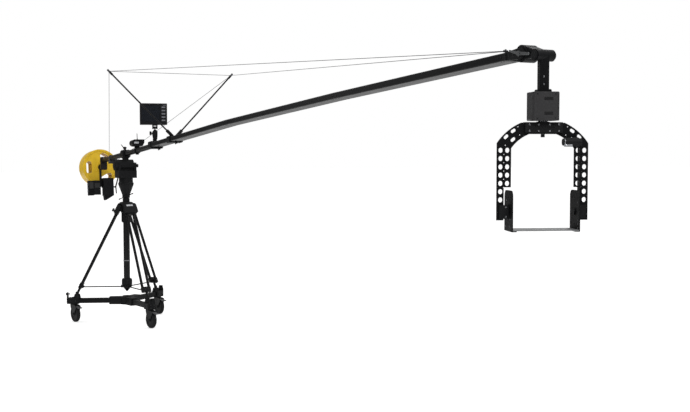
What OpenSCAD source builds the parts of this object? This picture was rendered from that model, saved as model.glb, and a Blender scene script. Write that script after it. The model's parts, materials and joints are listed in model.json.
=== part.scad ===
/* [Wheeled base] */
// Distance from the column to each caster's swivel axis
caster_reach = 470; // [420:5:560]
// Turn of the front leg away from the boom's line
leg_turn = 5.3; // [0:0.1:20]
// Height of the square arm tubes
arm_tube_h = 44; // [35:1:50]
// Width of the square arm tubes
arm_tube_w = 40; // [30:1:48]
// Wall of the square arm tubes
arm_tube_wall = 3; // [2:0.5:5]
// Height of the arm tubes' centre line over the floor
arm_axis_z = 187; // [183:1:205]
// Reach of the hub's three sockets
hub_reach = 156; // [120:1:200]
// Height of the hub casting
hub_h = 66; // [58:1:80]
// Width of each end casting
end_w = 68; // [60:1:80]
// Length of each end casting
end_l = 98; // [90:1:110]

/* [Casters] */
// Wheel diameter
wheel_d = 150; // [125:1:155]
// Tread width
tread_w = 34; // [28:1:40]
// Distance that the wheel trails behind the swivel axis
trail = 30; // [20:1:36]
// Diameter of the caster's stem
stem_d = 20; // [16:1:24]
// Diameter of the wheel's axle
axle_d = 12; // [8:1:16]
// Thickness of the fork's side plates
fork_t = 4; // [3:0.5:6]
// Turn of the casters away from the boom's line
caster_turn = 8; // [-20:1:20]
// Length of the brake pedal
pedal_l = 58; // [45:1:70]

/* [Tripod legs] */
// Distance from the column to each leg's hinge pin
leg_top_r = 62; // [58:1:70]
// Height of the leg hinge pins
leg_top_z = 1010; // [950:1:1050]
// Distance from the column to each foot
foot_r = 440; // [425:1:445]
// Height of the feet
foot_z = 250; // [246:1:256]
// Diameter of the twin leg tubes
leg_tube_d = 24; // [18:1:28]
// Distance between the twin tubes
leg_pair_w = 60; // [52:1:66]
// Length of the twin tubes' section
leg_pair_l = 790; // [775:1:795]
// Diameter of the lower leg tube
lower_leg_d = 22; // [16:1:24]
// Diameter of the leg hinge pins
leg_pin_d = 10; // [8:1:14]
// Diameter of the spreader bars
spreader_d = 10; // [8:1:14]
// Height of the spreader bars
spreader_z = 310; // [305:1:318]

/* [Centre column] */
// Diameter of the centre column
column_d = 56; // [50:1:62]
// Wall of the centre column
column_wall = 4; // [3:0.5:6]
// Height of the column's lower end
column_bottom_z = 368; // [366:1:380]
// Height of the crown's underside sleeve
sleeve_z = 892; // [860:1:920]
// Height of the crown's top
crown_top_z = 1069; // [1064:1:1080]
// Height of the column's stop ring
stop_ring_z = 540; // [500:1:560]

/* [Bowl] */
// Height of the bowl's lower rim
bowl_z = 1105; // [1103:1:1112]
// Height of the bowl's top face
bowl_top_z = 1283; // [1270:1:1290]
// Largest diameter of the bowl
bowl_d = 134; // [120:1:145]
// Diameter of the bowl's neck
bowl_neck_d = 68; // [62:1:80]
// Diameter of the pan spindle
spindle_d = 30; // [20:1:36]

/* [Fluid head] */
// Height of the tilt axis over the floor
tilt_z = 1400; // [1394:1:1406]
// Length of the pan base along the boom
pan_base_l = 128; // [110:1:150]
// Width of the pan base across the boom
pan_base_w = 166; // [150:1:180]
// Height of the pan base
pan_base_h = 66; // [55:1:68]
// Diameter of the tilt drum on one side
tilt_drum_d = 98; // [90:1:104]
// Thickness of the side cheeks
cheek_t = 20; // [14:1:26]
// Diameter of the tilt shaft
tilt_shaft_d = 24; // [16:1:30]

/* [Boom] */
// Rise of the boom at rest in degrees
boom_rise = 5.7; // [0:0.1:10]
// Height of the boom's axis over the tilt axis
boom_lift = 96.5; // [92:0.5:104]
// Diameter of the round rear tube
rear_tube_d = 45; // [40:1:48]
// Wall of the round rear tube
rear_tube_wall = 3; // [2:0.5:5]
// Length of the rear tube behind the tilt axis
rear_tube_back = 640; // [600:5:680]
// Distance from the tilt axis to the first boom section
section_start = 803; // [760:1:840]
// Width of the boom sections
boom_w = 102; // [90:1:110]
// Height of the boom sections
boom_h = 37; // [34:1:56]
// Wall of the boom sections
boom_wall = 1.6; // [1.2:0.1:3]
// Edge radius of the boom sections
boom_r = 6; // [5:0.5:9]
// Length of the first boom section
section_1_l = 1568; // [1400:1:1700]
// Length of the second boom section
section_2_l = 1555; // [1400:1:1700]
// Length of the third boom section
section_3_l = 1604; // [1400:1:1700]
// Sag in degrees at the first joint
sag_1 = 1.2; // [0.2:0.1:1.4]
// Sag in degrees at the second joint
sag_2 = 0.5; // [0.2:0.1:1.4]
// Length of the spigot inside each section joint
spigot_l = 70; // [50:1:100]

/* [Counterweights] */
// Plate diameter
plate_d = 343; // [300:1:350]
// Plate thickness
plate_t = 44; // [30:1:46]
// Number of plates
plate_count = 3; // [1:1:3]
// Diameter of the weight bar
bar_d = 28; // [20:1:30]
// Drop of the weight bar under the boom's axis
bar_drop = 56; // [50:1:60]
// Distance from the tilt axis to the first plate's face
plate_start = 745; // [735:1:840]
// Distance from the tilt axis to the bar's end
bar_end = 960; // [950:1:1080]

/* [Control boxes] */
// Height of the ribbed power box
power_h = 138; // [120:1:150]
// Width of the ribbed power box
power_w = 52; // [46:1:56]
// Height of the controller box
control_h = 168; // [130:1:176]
// Width of the controller box
control_w = 98; // [70:1:104]
// Depth of the controller box along the boom
control_l = 60; // [50:1:70]

/* [Struts and stays] */
// Distance from the tilt axis to the strut clamp
strut_at = 1238; // [1180:1:1280]
// Sideways reach of the strut tips
strut_reach = 522; // [460:1:560]
// Height of the strut tips over the boom's axis
strut_rise = 537; // [480:1:560]
// Strut diameter
strut_d = 12; // [8:1:14]
// Stay cable diameter
stay_d = 3.2; // [2:0.1:5]
// Distance from the tilt axis to the rear stay anchor
rear_anchor_at = 405; // [380:1:500]

/* [Monitor] */
// Monitor width
monitor_w = 222; // [180:1:240]
// Monitor height
monitor_h = 178; // [150:1:190]
// Monitor depth
monitor_t = 30; // [24:1:40]
// Sideways shift of the screen's middle from its bracket
monitor_shift = -11; // [-30:1:30]
// Turn of the monitor's face away from the boom's line
monitor_turn = -12; // [-25:1:0]
// Height of the monitor's tilt ball over the boom's axis
monitor_ball_z = 146; // [142:1:160]

/* [Receiver] */
// Distance from the tilt axis to the receiver box
receiver_at = 325; // [300:1:360]
// Receiver box width across the boom
receiver_w = 112; // [100:1:120]
// Receiver box length along the boom
receiver_l = 74; // [60:1:84]
// Receiver box height
receiver_h = 56; // [46:1:62]

/* [Levelling nose] */
// Distance from the third section's end to the levelling axis
fork_reach = 117; // [110:1:125]
// Diameter of the levelling drum
nose_drum_d = 78; // [70:1:84]
// Width of the levelling drum
nose_drum_w = 72; // [60:1:74]
// Diameter of the levelling pin
nose_pin_d = 18; // [12:1:22]
// Distance from the levelling axis to the head's pan axis
nose_reach = 110; // [100:1:130]
// Drop of the cross barrel under the levelling axis
barrel_drop = 14; // [8:1:20]
// Diameter of the cross barrel
barrel_d = 52; // [46:1:58]
// Length of the cross barrel
barrel_l = 96; // [84:1:110]

/* [Pan head] */
// Turn of the head away from the boom's line
head_turn = -23; // [-45:1:0]
// Side of the square post
post_w = 43; // [36:1:50]
// Height of the pan box's top
pan_box_top_z = 1800; // [1790:1:1810]
// Pan box height
pan_box_h = 126; // [110:1:130]
// Pan box width
pan_box_w = 122; // [100:1:140]
// Pan box depth
pan_box_t = 108; // [90:1:120]
// Pan shaft diameter
pan_shaft_d = 28; // [20:1:34]

/* [Perforated yoke] */
// Outer width of the yoke
yoke_w = 412; // [400:1:430]
// Width of each leg
yoke_leg_w = 64; // [62:1:70]
// Height of the yoke's top edge
yoke_top_z = 1666; // [1660:1:1668]
// Height of the yoke's lower ends
yoke_foot_z = 1238; // [1220:1:1250]
// Depth of the top bar
yoke_bar_h = 50; // [44:1:56]
// Plate thickness
yoke_t = 6; // [4:0.5:8]
// Width of the oval holes
hole_w = 18.6; // [14:0.1:20]
// Height of the oval holes
hole_h = 22; // [20:0.5:24]
// Height of the first row of holes
hole_top_z = 1545; // [1540:1:1550]
// Spacing of the rows
hole_pitch = 36.2; // [32:0.1:37]
// Spacing of the two columns
hole_gap = 30; // [26:0.5:31]
// Rows of holes
hole_rows = 7; // [5:1:7]

/* [Camera cradle] */
// Height of the tilt axis of the cradle
cradle_axis_z = 1275; // [1272:1:1278]
// Distance between the outer faces of the side plates
cradle_w = 305; // [290:1:312]
// Depth of the side plates and the platform
cradle_d = 130; // [100:1:132]
// Height of the side plates
cradle_h = 180; // [150:1:182]
// Thickness of the side plates
cradle_t = 5; // [3:0.5:6]
// Radius of the side plates' top corners
cradle_r = 27; // [20:1:40]
// Diameter of the camera screw hole
screw_hole_d = 6.6; // [6.4:0.1:10]

/* [Hidden] */
$fn = 48;

// Running clearance of shafts, sliding clearance and seating gap
run = 0.05;
slip = 0.3;
seat = 0.3;

// Angles of the three legs, counted from the boom's line
leg_angles = [for (i = [0:2]) leg_turn + 120 * i];
names = ["front", "far", "near"];

// Leg slope and length
leg_splay = atan((foot_r - leg_top_r) / (leg_top_z - foot_z));
leg_l = (leg_top_z - foot_z) / cos(leg_splay);
coupler_l = 46;

// Boom line in the vertical plane, as [x, z] from the column
function boom_pt(along, up) =
    [along * cos(boom_rise) - up * sin(boom_rise),
     tilt_z + along * sin(boom_rise) + up * cos(boom_rise)];
rise_2 = boom_rise - sag_1;
rise_3 = rise_2 - sag_2;
joint_gap_1 = boom_h / 2 * tan(sag_1) + 0.05;
joint_gap_2 = boom_h / 2 * tan(sag_2) + 0.05;
section_1_end = section_start + section_1_l;
bend_1 = boom_pt(section_1_end, boom_lift);
bend_2 = bend_1 + section_2_l * [cos(rise_2), sin(rise_2)];
nose_l = section_3_l + fork_reach;
nose_pt = bend_2 + nose_l * [cos(rise_3), sin(rise_3)];
pan_x = nose_pt[0] + nose_reach;
barrel_z = nose_pt[1] - barrel_drop;

// Overall reach, which puts the origin under the middle of the crane
rear_x = boom_pt(-bar_end, boom_lift - bar_drop + bar_d / 2)[0];
front_x = pan_x + cradle_d / 2 * cos(head_turn) - cradle_w / 2 * sin(head_turn);
column_x = -(rear_x + front_x) / 2;

module at_column() translate([column_x, 0, 0]) children();
module each_leg() for (a = leg_angles) rotate([0, 0, a]) children();
module leg_frame(i) rotate([0, 0, leg_angles[i]]) translate([leg_top_r, 0, leg_top_z])
    rotate([0, -leg_splay, 0]) children();
module each_leg_frame() for (i = [0:2]) leg_frame(i) children();
module caster_frame(i)
    translate([caster_reach * cos(leg_angles[i]), caster_reach * sin(leg_angles[i]), 0])
    rotate([0, 0, caster_turn]) children();
module boom_frame() at_column() translate([0, 0, tilt_z]) rotate([0, -boom_rise, 0]) children();
module axis_frame() boom_frame() translate([0, 0, boom_lift]) children();
module section_2_frame() at_column() translate([bend_1[0], 0, bend_1[1]])
    rotate([0, -rise_2, 0]) children();
module section_3_frame() at_column() translate([bend_2[0], 0, bend_2[1]])
    rotate([0, -rise_3, 0]) children();
module nose_frame() at_column() translate([nose_pt[0], 0, nose_pt[1]]) children();
module head_frame() at_column() translate([pan_x, 0, 0]) rotate([0, 0, head_turn]) children();
module both_sides() {
    children();
    mirror([0, 1, 0]) children();
}

// Flat outline with round corners, centred
module rounded(w, h, r) {
    square([w - 2 * r, h], center = true);
    square([w, h - 2 * r], center = true);
    for (x = [-1, 1], y = [-1, 1]) translate([x * (w / 2 - r), y * (h / 2 - r)]) circle(r);
}
// Box with round upright edges, standing on z = 0
module post_box(l, w, h, r) linear_extrude(h) rounded(l, w, r);
// Bar along +X with round long edges
module bar_x(l, w, h, r) rotate([90, 0, 90]) linear_extrude(l) rounded(w, h, r);
module cyl_x(d, l) rotate([0, 90, 0]) cylinder(d = d, h = l);
module cyl_y(d, l) rotate([90, 0, 0]) cylinder(d = d, h = l, center = true);
module tube_z(d, wall, l) difference() {
    cylinder(d = d, h = l);
    translate([0, 0, -1]) cylinder(d = d - 2 * wall, h = l + 2);
}
// Round rod from one point to another
module rod(p, q, d) {
    v = q - p;
    l = norm(v);
    translate(p) rotate([0, acos(v[2] / l), atan2(v[1], v[0])]) cylinder(d = d, h = l);
}
// Side plate profile in X and Z, with thickness along Y
module plate_y(points, t) rotate([90, 0, 0]) linear_extrude(t, center = true) polygon(points);

// Wheeled base
arm_in = 60;
arm_out = caster_reach - end_l / 2 + 8;
end_top_z = arm_axis_z + arm_tube_h / 2 + 4;
end_bottom_z = arm_axis_z - arm_tube_h / 2 - 4;

module dolly_hub() color("#26272a") at_column() difference() {
    union() {
        translate([0, 0, arm_axis_z - hub_h / 2]) linear_extrude(hub_h) union() {
            circle(r = 64);
            for (a = leg_angles) rotate(a) polygon([[0, -42], [hub_reach - 24, -33],
                [hub_reach, -31], [hub_reach, 31], [hub_reach - 24, 33], [0, 42]]);
        }
        translate([0, 0, arm_axis_z + hub_h / 2 - 2]) cylinder(r1 = 50, r2 = 38, h = 10);
    }
    each_leg() translate([arm_in, 0, arm_axis_z - arm_tube_h / 2 - slip / 2])
        translate([0, -arm_tube_w / 2 - slip / 2, 0])
        cube([hub_reach, arm_tube_w + slip, arm_tube_h + slip]);
    each_leg() for (x = [hub_reach - 66, hub_reach - 26]) translate([x, 0, 0])
        translate([0, 0, arm_axis_z + hub_h / 2 - 4]) cylinder(d = 15, h = 9);
    translate([0, 0, arm_axis_z]) cylinder(d = 18, h = hub_h);
}

module dolly_arms() color("#2b2c2f") at_column() each_leg()
    translate([arm_in + 1, 0, arm_axis_z]) difference() {
        bar_x(arm_out - arm_in - 1, arm_tube_w, arm_tube_h, 3);
        translate([-1, 0, 0]) bar_x(arm_out - arm_in + 2, arm_tube_w - 2 * arm_tube_wall,
            arm_tube_h - 2 * arm_tube_wall, 1.5);
    }

module dolly_ends() color("#222326") at_column() each_leg() difference() {
    union() {
        translate([caster_reach, 0, end_bottom_z])
            post_box(end_l, end_w, end_top_z - end_bottom_z, 10);
        translate([foot_r, 0, end_top_z]) cylinder(r1 = 32, r2 = 24, h = foot_z - end_top_z - 4);
        translate([caster_reach, 0, end_top_z]) cylinder(r = 15, h = 8);
    }
    translate([foot_r, 0, foot_z - 20]) cylinder(d1 = 30, d2 = 32, h = 30);
    translate([caster_reach - end_l, 0, arm_axis_z])
        bar_x(arm_out - caster_reach + end_l, arm_tube_w + slip, arm_tube_h + slip, 3);
    translate([caster_reach, 0, end_bottom_z - 1]) cylinder(d = stem_d + 2 * run, h = 55);
}

// Upright clamp plates that hook over the tripod's feet
clamp_x = caster_reach + end_l / 2;
module foot_clamps() color("#2a2b2e") at_column() each_leg() {
    translate([clamp_x + 5, 0, end_bottom_z]) rotate([90, 0, 90]) translate([0, 0, -5])
        linear_extrude(10) polygon([[-26, 0], [26, 0], [26, 66], [16, 100], [-16, 100], [-26, 66]]);
    translate([clamp_x - 18, 0, end_top_z + 34]) rotate([0, 90, 0]) cylinder(d = 10, h = 20);
    translate([clamp_x + 10, 0, end_top_z + 34]) rotate([0, 90, 0]) cylinder(d = 22, h = 10, $fn = 24);
}

// Casters
fork_in = tread_w / 2 + 3;
fork_top_z = end_bottom_z - seat;
pedal_x = trail + wheel_d / 2 - 26;
pedal_z = wheel_d - 8;
pedal_pin_d = 8;

module caster_fork(i) color("#2a2b2d") at_column() caster_frame(i) {
    difference() {
        union() {
            translate([0, 0, fork_top_z - 5]) cylinder(r = 33, h = 5);
            translate([12, 0, fork_top_z - 7.5]) cube([80, 2 * (fork_in + fork_t), 5], center = true);
            for (s = [-1, 1]) translate([0, s * (fork_in + fork_t / 2), 0])
                plate_y([[-28, fork_top_z - 5], [-24, fork_top_z - 28], [trail - 15, wheel_d / 2 - 10],
                    [trail, wheel_d / 2 - 16], [trail + 15, wheel_d / 2 - 10],
                    [pedal_x + 9, pedal_z - 12], [pedal_x + 9, pedal_z + 7], [52, fork_top_z - 5]],
                    fork_t);
        }
        translate([trail, 0, wheel_d / 2]) cyl_y(axle_d, 4 * fork_in);
        translate([pedal_x, 0, pedal_z]) cyl_y(pedal_pin_d + 2 * run, 4 * fork_in);
    }
    translate([0, 0, fork_top_z]) cylinder(d = stem_d, h = 52);
    translate([trail, 0, wheel_d / 2]) {
        cyl_y(axle_d, 2 * (fork_in + fork_t) + 2);
        for (s = [-1, 1]) translate([0, s * (fork_in + fork_t + 3), 0]) cyl_y(20, 6, $fn = 6);
    }
}

module wheel(i) color("#1d1e20") at_column() caster_frame(i)
    translate([trail, 0, wheel_d / 2]) rotate([90, 0, 0]) rotate_extrude($fn = 64)
    polygon([[axle_d / 2 + run, -tread_w / 2 - 1], [16, -tread_w / 2 - 1], [18, -tread_w / 2 + 4],
        [wheel_d / 2 - 22, -tread_w / 2 + 6], [wheel_d / 2 - 17, -tread_w / 2],
        [wheel_d / 2 - 6, -tread_w / 2], [wheel_d / 2 - 1.5, -tread_w / 2 + 5],
        [wheel_d / 2, -tread_w / 2 + 11], [wheel_d / 2, tread_w / 2 - 11],
        [wheel_d / 2 - 1.5, tread_w / 2 - 5], [wheel_d / 2 - 6, tread_w / 2],
        [wheel_d / 2 - 17, tread_w / 2], [wheel_d / 2 - 22, tread_w / 2 - 6],
        [18, tread_w / 2 - 4], [16, tread_w / 2 + 1], [axle_d / 2 + run, tread_w / 2 + 1]]);

module brake_pedal(i) color("#8d9095") at_column() caster_frame(i)
    translate([pedal_x, 0, pedal_z]) {
        cyl_y(pedal_pin_d, 2 * (fork_in + fork_t) + 3);
        translate([0, 0, -1]) rotate([0, 8, 0]) translate([pedal_l / 2 + 2, 0, 0]) {
            cube([pedal_l, 2 * fork_in - 4, 4], center = true);
            translate([pedal_l / 2 - 5, 0, 3]) cyl_y(8, 2 * fork_in - 4);
        }
    }

// Tripod
lug_w = 46;
hood_w = 111;
knob_at = 34;
// Hood that covers a leg's bracket on the outside
module hood() difference() {
    translate([-8, 0, 0]) rotate([90, 0, 90]) linear_extrude(33.3) union() {
        translate([0, -13]) square([hood_w, 70], center = true);
        translate([0, 12]) rounded(hood_w, 56, 18);
    }
    translate([-30, -hood_w / 2 + 5.5, -60]) cube([47.3, hood_w - 11, 120]);
}
module crown() color("#28292c") at_column() difference() {
    union() {
        translate([0, 0, sleeve_z]) cylinder(d = column_d + 30, h = crown_top_z - sleeve_z - 10);
        translate([0, 0, sleeve_z - 6]) cylinder(d = column_d + 20, h = 12);
        translate([0, 0, crown_top_z - 34]) rotate_extrude($fn = 64)
            polygon([[20, 0], [52, 0], [60, 10], [62, 22], [56, 31], [46, 34], [20, 34]]);
        each_leg() translate([0, 0, leg_top_z]) plate_y([[20, -40], [leg_top_r - 20, -36],
            [leg_top_r - 12, -22], [leg_top_r + 4, -13], [leg_top_r + 13, -9],
            [leg_top_r + 23, -3], [leg_top_r + 20, 12], [leg_top_r + 12, 30], [20, 34]], lug_w);
        each_leg_frame() hood();
        translate([0, 0, crown_top_z - 4]) cylinder(d = 62, h = bowl_z - crown_top_z - 2);
    }
    translate([0, 0, sleeve_z - 10]) cylinder(d = column_d + 2 * run, h = 400);
    each_leg() translate([leg_top_r, 0, leg_top_z]) cyl_y(leg_pin_d, 90);
    leg_frame(2) translate([10, 0, -knob_at]) rotate([0, 90, 0]) cylinder(d = 8 + 2 * run, h = 40);
    rotate([0, 0, 150]) translate([0, 0, crown_top_z + 20]) rotate([0, 90, 0])
        cylinder(d = 8 + 2 * run, h = 60);
}

fork_leg_w = leg_pair_w + leg_tube_d + 2;
bracket_l = 60;
module upper_legs() color("#2d2e31") at_column() each_leg_frame() {
    difference() {
        union() {
            translate([0, 0, -bracket_l]) post_box(34, fork_leg_w, bracket_l + 20, 6);
            rotate([90, 0, 0]) cylinder(d = 34, h = fork_leg_w, center = true);
            for (s = [-1, 1]) translate([0, s * leg_pair_w / 2, -leg_pair_l + 10])
                cylinder(d = leg_tube_d, h = leg_pair_l - 20);
            translate([0, 0, -leg_pair_l]) post_box(32, fork_leg_w, coupler_l, 8);
        }
        translate([-60, -lug_w / 2 - 1, -16]) cube([140, lug_w + 2, 60]);
        cyl_y(leg_pin_d, 200);
        translate([4, 0, -knob_at]) rotate([0, 90, 0]) cylinder(d = 8 + 2 * run, h = 40);
        translate([0, 0, -leg_pair_l - 1]) cylinder(d = lower_leg_d, h = coupler_l + 2);
        for (s = [-1, 1]) translate([0, s * leg_pair_w / 2, -leg_pair_l - 1])
            cylinder(d = leg_tube_d - 4, h = leg_pair_l - bracket_l - 10);
    }
}

module lower_legs() color("#3a3b3e") at_column() each_leg_frame()
    translate([0, 0, -leg_l + 14]) difference() {
        cylinder(d = lower_leg_d, h = leg_l - leg_pair_l + coupler_l - 16);
        translate([0, 0, 8]) cylinder(d = lower_leg_d - 5, h = leg_l);
    }

module leg_feet() color("#1c1c1e") at_column() each_leg() translate([foot_r, 0, foot_z])
    difference() {
        union() {
            translate([0, 0, -19.7]) cylinder(d1 = 26, d2 = 29, h = 22);
            translate([0, 0, 2.3]) cylinder(d1 = 34, d2 = 26, h = 14);
        }
        rotate([0, -leg_splay, 0]) translate([0, 0, 14]) cylinder(d = lower_leg_d, h = 60);
    }

module leg_pins() color("#8b8d91") at_column() each_leg() translate([leg_top_r, 0, leg_top_z]) {
    cyl_y(leg_pin_d, fork_leg_w + 10);
    for (s = [-1, 1]) translate([0, s * (fork_leg_w / 2 + 3), 0]) cyl_y(16, 6, $fn = 6);
}

// Knob on the near leg that locks its spread
module leg_knob() color("#1b1b1d") at_column() leg_frame(2)
    translate([25.3 + seat, 0, -knob_at]) rotate([0, 90, 0]) {
        translate([0, 0, -19]) cylinder(d = 8, h = 20);
        cylinder(d = 12, h = 14);
        translate([0, 0, 8]) difference() {
            cylinder(d = 30, h = 16);
            for (a = [0:60:300]) rotate([0, 0, a]) translate([18, 0, -1]) cylinder(d = 8, h = 20, $fn = 16);
        }
    }

// Mid spreader
end_x = -21 - seat;
end_s = (spreader_z - leg_top_z - end_x * sin(leg_splay)) / cos(leg_splay);
spreader_end = leg_top_r + end_x * cos(leg_splay) - end_s * sin(leg_splay);
module spreader_hub() color("#232427") at_column() difference() {
    union() {
        translate([0, 0, spreader_z - 42]) rotate_extrude() polygon([[0, 0], [6, 0], [30, 30],
            [30, 56], [0, 56]]);
        each_leg() translate([0, 0, spreader_z - 8]) for (s = [-1, 1])
            translate([24, s * 12 - 3, 0]) cube([28, 6, 22]);
        each_leg() translate([24, -15, spreader_z + 6]) cube([26, 30, 8]);
    }
    each_leg() translate([44, 0, spreader_z]) cyl_y(6, 60);
}
module spreader_bars() color("#2c2d2f") at_column() each_leg() {
    translate([31, 0, spreader_z]) cyl_x(spreader_d, spreader_end - 31);
    translate([44, 0, spreader_z]) cyl_y(6, 34);
    translate([spreader_end, 0, spreader_z]) rotate([0, -leg_splay, 0])
        cube([10, 36, 22], center = true);
}

// Centre column, which slides up through the crown
module column_tube() color("#303134") at_column() difference() {
    union() {
        translate([0, 0, column_bottom_z]) tube_z(column_d, column_wall, bowl_z - column_bottom_z);
        translate([0, 0, stop_ring_z]) difference() {
            cylinder(d = column_d + 5, h = 9);
            translate([0, 0, -1]) cylinder(d = column_d - 2, h = 11);
        }
        translate([0, 0, bowl_z - 30]) cylinder(d = column_d - 2, h = 30);
        translate([0, 0, column_bottom_z]) cylinder(d = column_d - 2, h = 10);
    }
    rotate([0, 0, -62]) translate([column_d / 2 - 2, -3, column_bottom_z + 20])
        cube([6, 6, stop_ring_z - column_bottom_z - 30]);
    rotate([0, 0, -62]) translate([column_d / 2 - 2, -3, stop_ring_z + 20])
        cube([6, 6, sleeve_z - stop_ring_z]);
}

module column_lever() color("#24252a") at_column() rotate([0, 0, 150])
    translate([0, 0, crown_top_z + 20]) rotate([0, 90, 0]) {
        translate([0, 0, column_d / 2 + 0.6]) cylinder(d = 8, h = 14);
        translate([0, 0, 31 + seat]) rotate([0, 0, 90]) {
            cylinder(d = 16, h = 10);
            translate([0, 0, 4]) rotate([0, 64, 0]) cylinder(d1 = 8, d2 = 6, h = 40);
        }
    }

// Bowl
module bowl_cone() color("#2a2b2e") at_column() difference() {
    union() {
        translate([0, 0, bowl_z]) rotate_extrude($fn = 64) polygon([[0, 0],
            [bowl_neck_d / 2 - 4, 0], [bowl_neck_d / 2, 4], [bowl_neck_d / 2, 28],
            [bowl_d / 2 - 2, 112], [bowl_d / 2, 120], [bowl_d / 2, 134],
            [bowl_d / 2 - 5, 142], [bowl_d / 2 - 6, bowl_top_z - bowl_z],
            [0, bowl_top_z - bowl_z]]);
        for (a = [-150:60:150]) rotate([0, 0, a]) translate([0, 0, bowl_z + 30])
            plate_y([[20, 0], [bowl_neck_d / 2 + 2, 0], [bowl_d / 2 + 1.5, 90], [20, 90]], 7);
    }
    translate([0, 0, bowl_top_z - 60]) cylinder(d = spindle_d + 2 * run, h = 70);
    rotate([0, 0, -20]) translate([0, 0, bowl_z + 15]) rotate([0, 90, 0])
        cylinder(d = 8 + 2 * run, h = 60);
}
module bowl_lever() color("#202125") at_column() rotate([0, 0, -20])
    translate([0, 0, bowl_z + 15]) rotate([0, 90, 0]) {
        translate([0, 0, 12]) cylinder(d = 8, h = bowl_neck_d / 2 - 8);
        translate([0, 0, bowl_neck_d / 2 + seat]) {
            cylinder(d = 16, h = 14);
            translate([0, 0, 14]) rotate([0, 0, 23]) {
                cyl_y(7, 128);
                for (s = [-1, 1]) translate([0, s * 61, 0]) cyl_y(11, 14);
            }
        }
    }

// Fluid head
pan_base_z = bowl_top_z + seat;
cheek_in = pan_base_w / 2 - cheek_t;
drum_out = pan_base_w / 2 + 21;
knob_z = tilt_z - 8;
module pan_base() color("#303135") at_column() {
    difference() {
        union() {
            translate([0, 0, pan_base_z]) post_box(pan_base_l, pan_base_w, pan_base_h, 9);
            translate([0, 0, pan_base_z]) cylinder(d = bowl_d - 10, h = 10);
            translate([0, -pan_base_w / 2 + cheek_t / 2, tilt_z]) {
                cyl_y(tilt_drum_d, cheek_t);
                plate_y([[-tilt_drum_d / 2, 0], [tilt_drum_d / 2, 0],
                    [pan_base_l / 2 - 9, pan_base_z + pan_base_h - 5 - tilt_z],
                    [9 - pan_base_l / 2, pan_base_z + pan_base_h - 5 - tilt_z]], cheek_t);
            }
            translate([0, 1 - pan_base_w / 2 - 11, tilt_z]) cyl_y(tilt_drum_d + 4, 22);
            translate([0, pan_base_w / 2 - cheek_t / 2, 0])
                plate_y([[-48, pan_base_z + pan_base_h - 5], [48, pan_base_z + pan_base_h - 5],
                    [48, tilt_z + 14], [40, tilt_z + 20], [-40, tilt_z + 20], [-48, tilt_z + 14]],
                    cheek_t);
        }
        translate([0, 0, tilt_z]) cyl_y(tilt_shaft_d + 2 * run, pan_base_w + 80);
        translate([0, -drum_out, tilt_z]) rotate([90, 0, 0]) rotate_extrude()
            translate([39, -3]) square([4, 6]);
        translate([30, pan_base_w / 2 - 12, knob_z]) rotate([-90, 0, 0])
            cylinder(d = 8 + 2 * run, h = 20);
    }
    translate([0, 0, pan_base_z - 50]) cylinder(d = spindle_d, h = 60);
}

module tilt_block() color("#2b2c30") boom_frame() {
    cyl_y(94, 2 * (cheek_in - 1));
    translate([0, (pan_base_w / 2 - drum_out) / 2, 0])
        cyl_y(tilt_shaft_d, drum_out + pan_base_w / 2 + 8);
    translate([0, -drum_out - seat - 2.5, 0]) cyl_y(52, 5);
    translate([-2, 0, 30]) post_box(50, 46, boom_lift - rear_tube_d / 2 - 44 - seat, 6);
}

module tilt_knob() color("#1e1f22") at_column() translate([30, pan_base_w / 2 + seat, knob_z])
    rotate([-90, 0, 0]) difference() {
        union() {
            translate([0, 0, -11]) cylinder(d = 8, h = 12);
            cylinder(d = 14, h = 6);
            translate([0, 0, 5]) cylinder(d = 30, h = 14);
        }
        for (a = [0:45:315]) rotate([0, 0, a]) translate([17, 0, 3]) cylinder(d = 6, h = 20, $fn = 16);
    }

// Saddle that clamps the rear tube
saddle_l = 66;
saddle_w = 74;
eye_up = rear_tube_d / 2 + 33;
module boom_saddle() color("#27282b") axis_frame() difference() {
    union() {
        translate([-saddle_l / 2, 0, 0]) bar_x(saddle_l, saddle_w, rear_tube_d + 24, 16);
        translate([0, 0, -rear_tube_d / 2 - 14]) post_box(60, 58, 20, 5);
        translate([-4, 0, rear_tube_d / 2 + 8]) plate_y([[-14, 0], [14, 0], [9, 24], [-9, 24]], 14);
        translate([-4, 0, eye_up]) cyl_y(20, 14);
    }
    translate([-saddle_l, 0, 0]) cyl_x(rear_tube_d, 2 * saddle_l);
    translate([-4, 0, eye_up]) cyl_y(8 + 2 * run, 40);
    translate([-saddle_l / 2 - 1, -2, rear_tube_d / 2 - 2]) cube([12, 4, 30]);
    translate([saddle_l / 2 - 11, -2, rear_tube_d / 2 - 2]) cube([12, 4, 30]);
}
module saddle_lever() color("#1f2023") axis_frame() translate([-4, 0, eye_up]) {
    cyl_y(8, 30);
    translate([0, -11.3, 0]) cyl_y(18, 7);
    translate([0, -11.3, 0]) rotate([0, -62, 0]) cylinder(d1 = 8, d2 = 6, h = 74);
    translate([0, 10.3, 0]) cyl_y(14, 6);
}

// Boom tubes
module rear_tube() color("#2a2b2e") axis_frame() difference() {
    translate([-rear_tube_back, 0, 0]) cyl_x(rear_tube_d, rear_tube_back + section_start - seat);
    translate([-rear_tube_back - 1, 0, 0])
        cyl_x(rear_tube_d - 2 * rear_tube_wall, rear_tube_back + section_start + 2);
}
module boom_tube(l) difference() {
    bar_x(l, boom_w, boom_h, boom_r);
    translate([-1, 0, 0]) bar_x(l + 2, boom_w - 2 * boom_wall, boom_h - 2 * boom_wall,
        boom_r - boom_wall);
}
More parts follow.
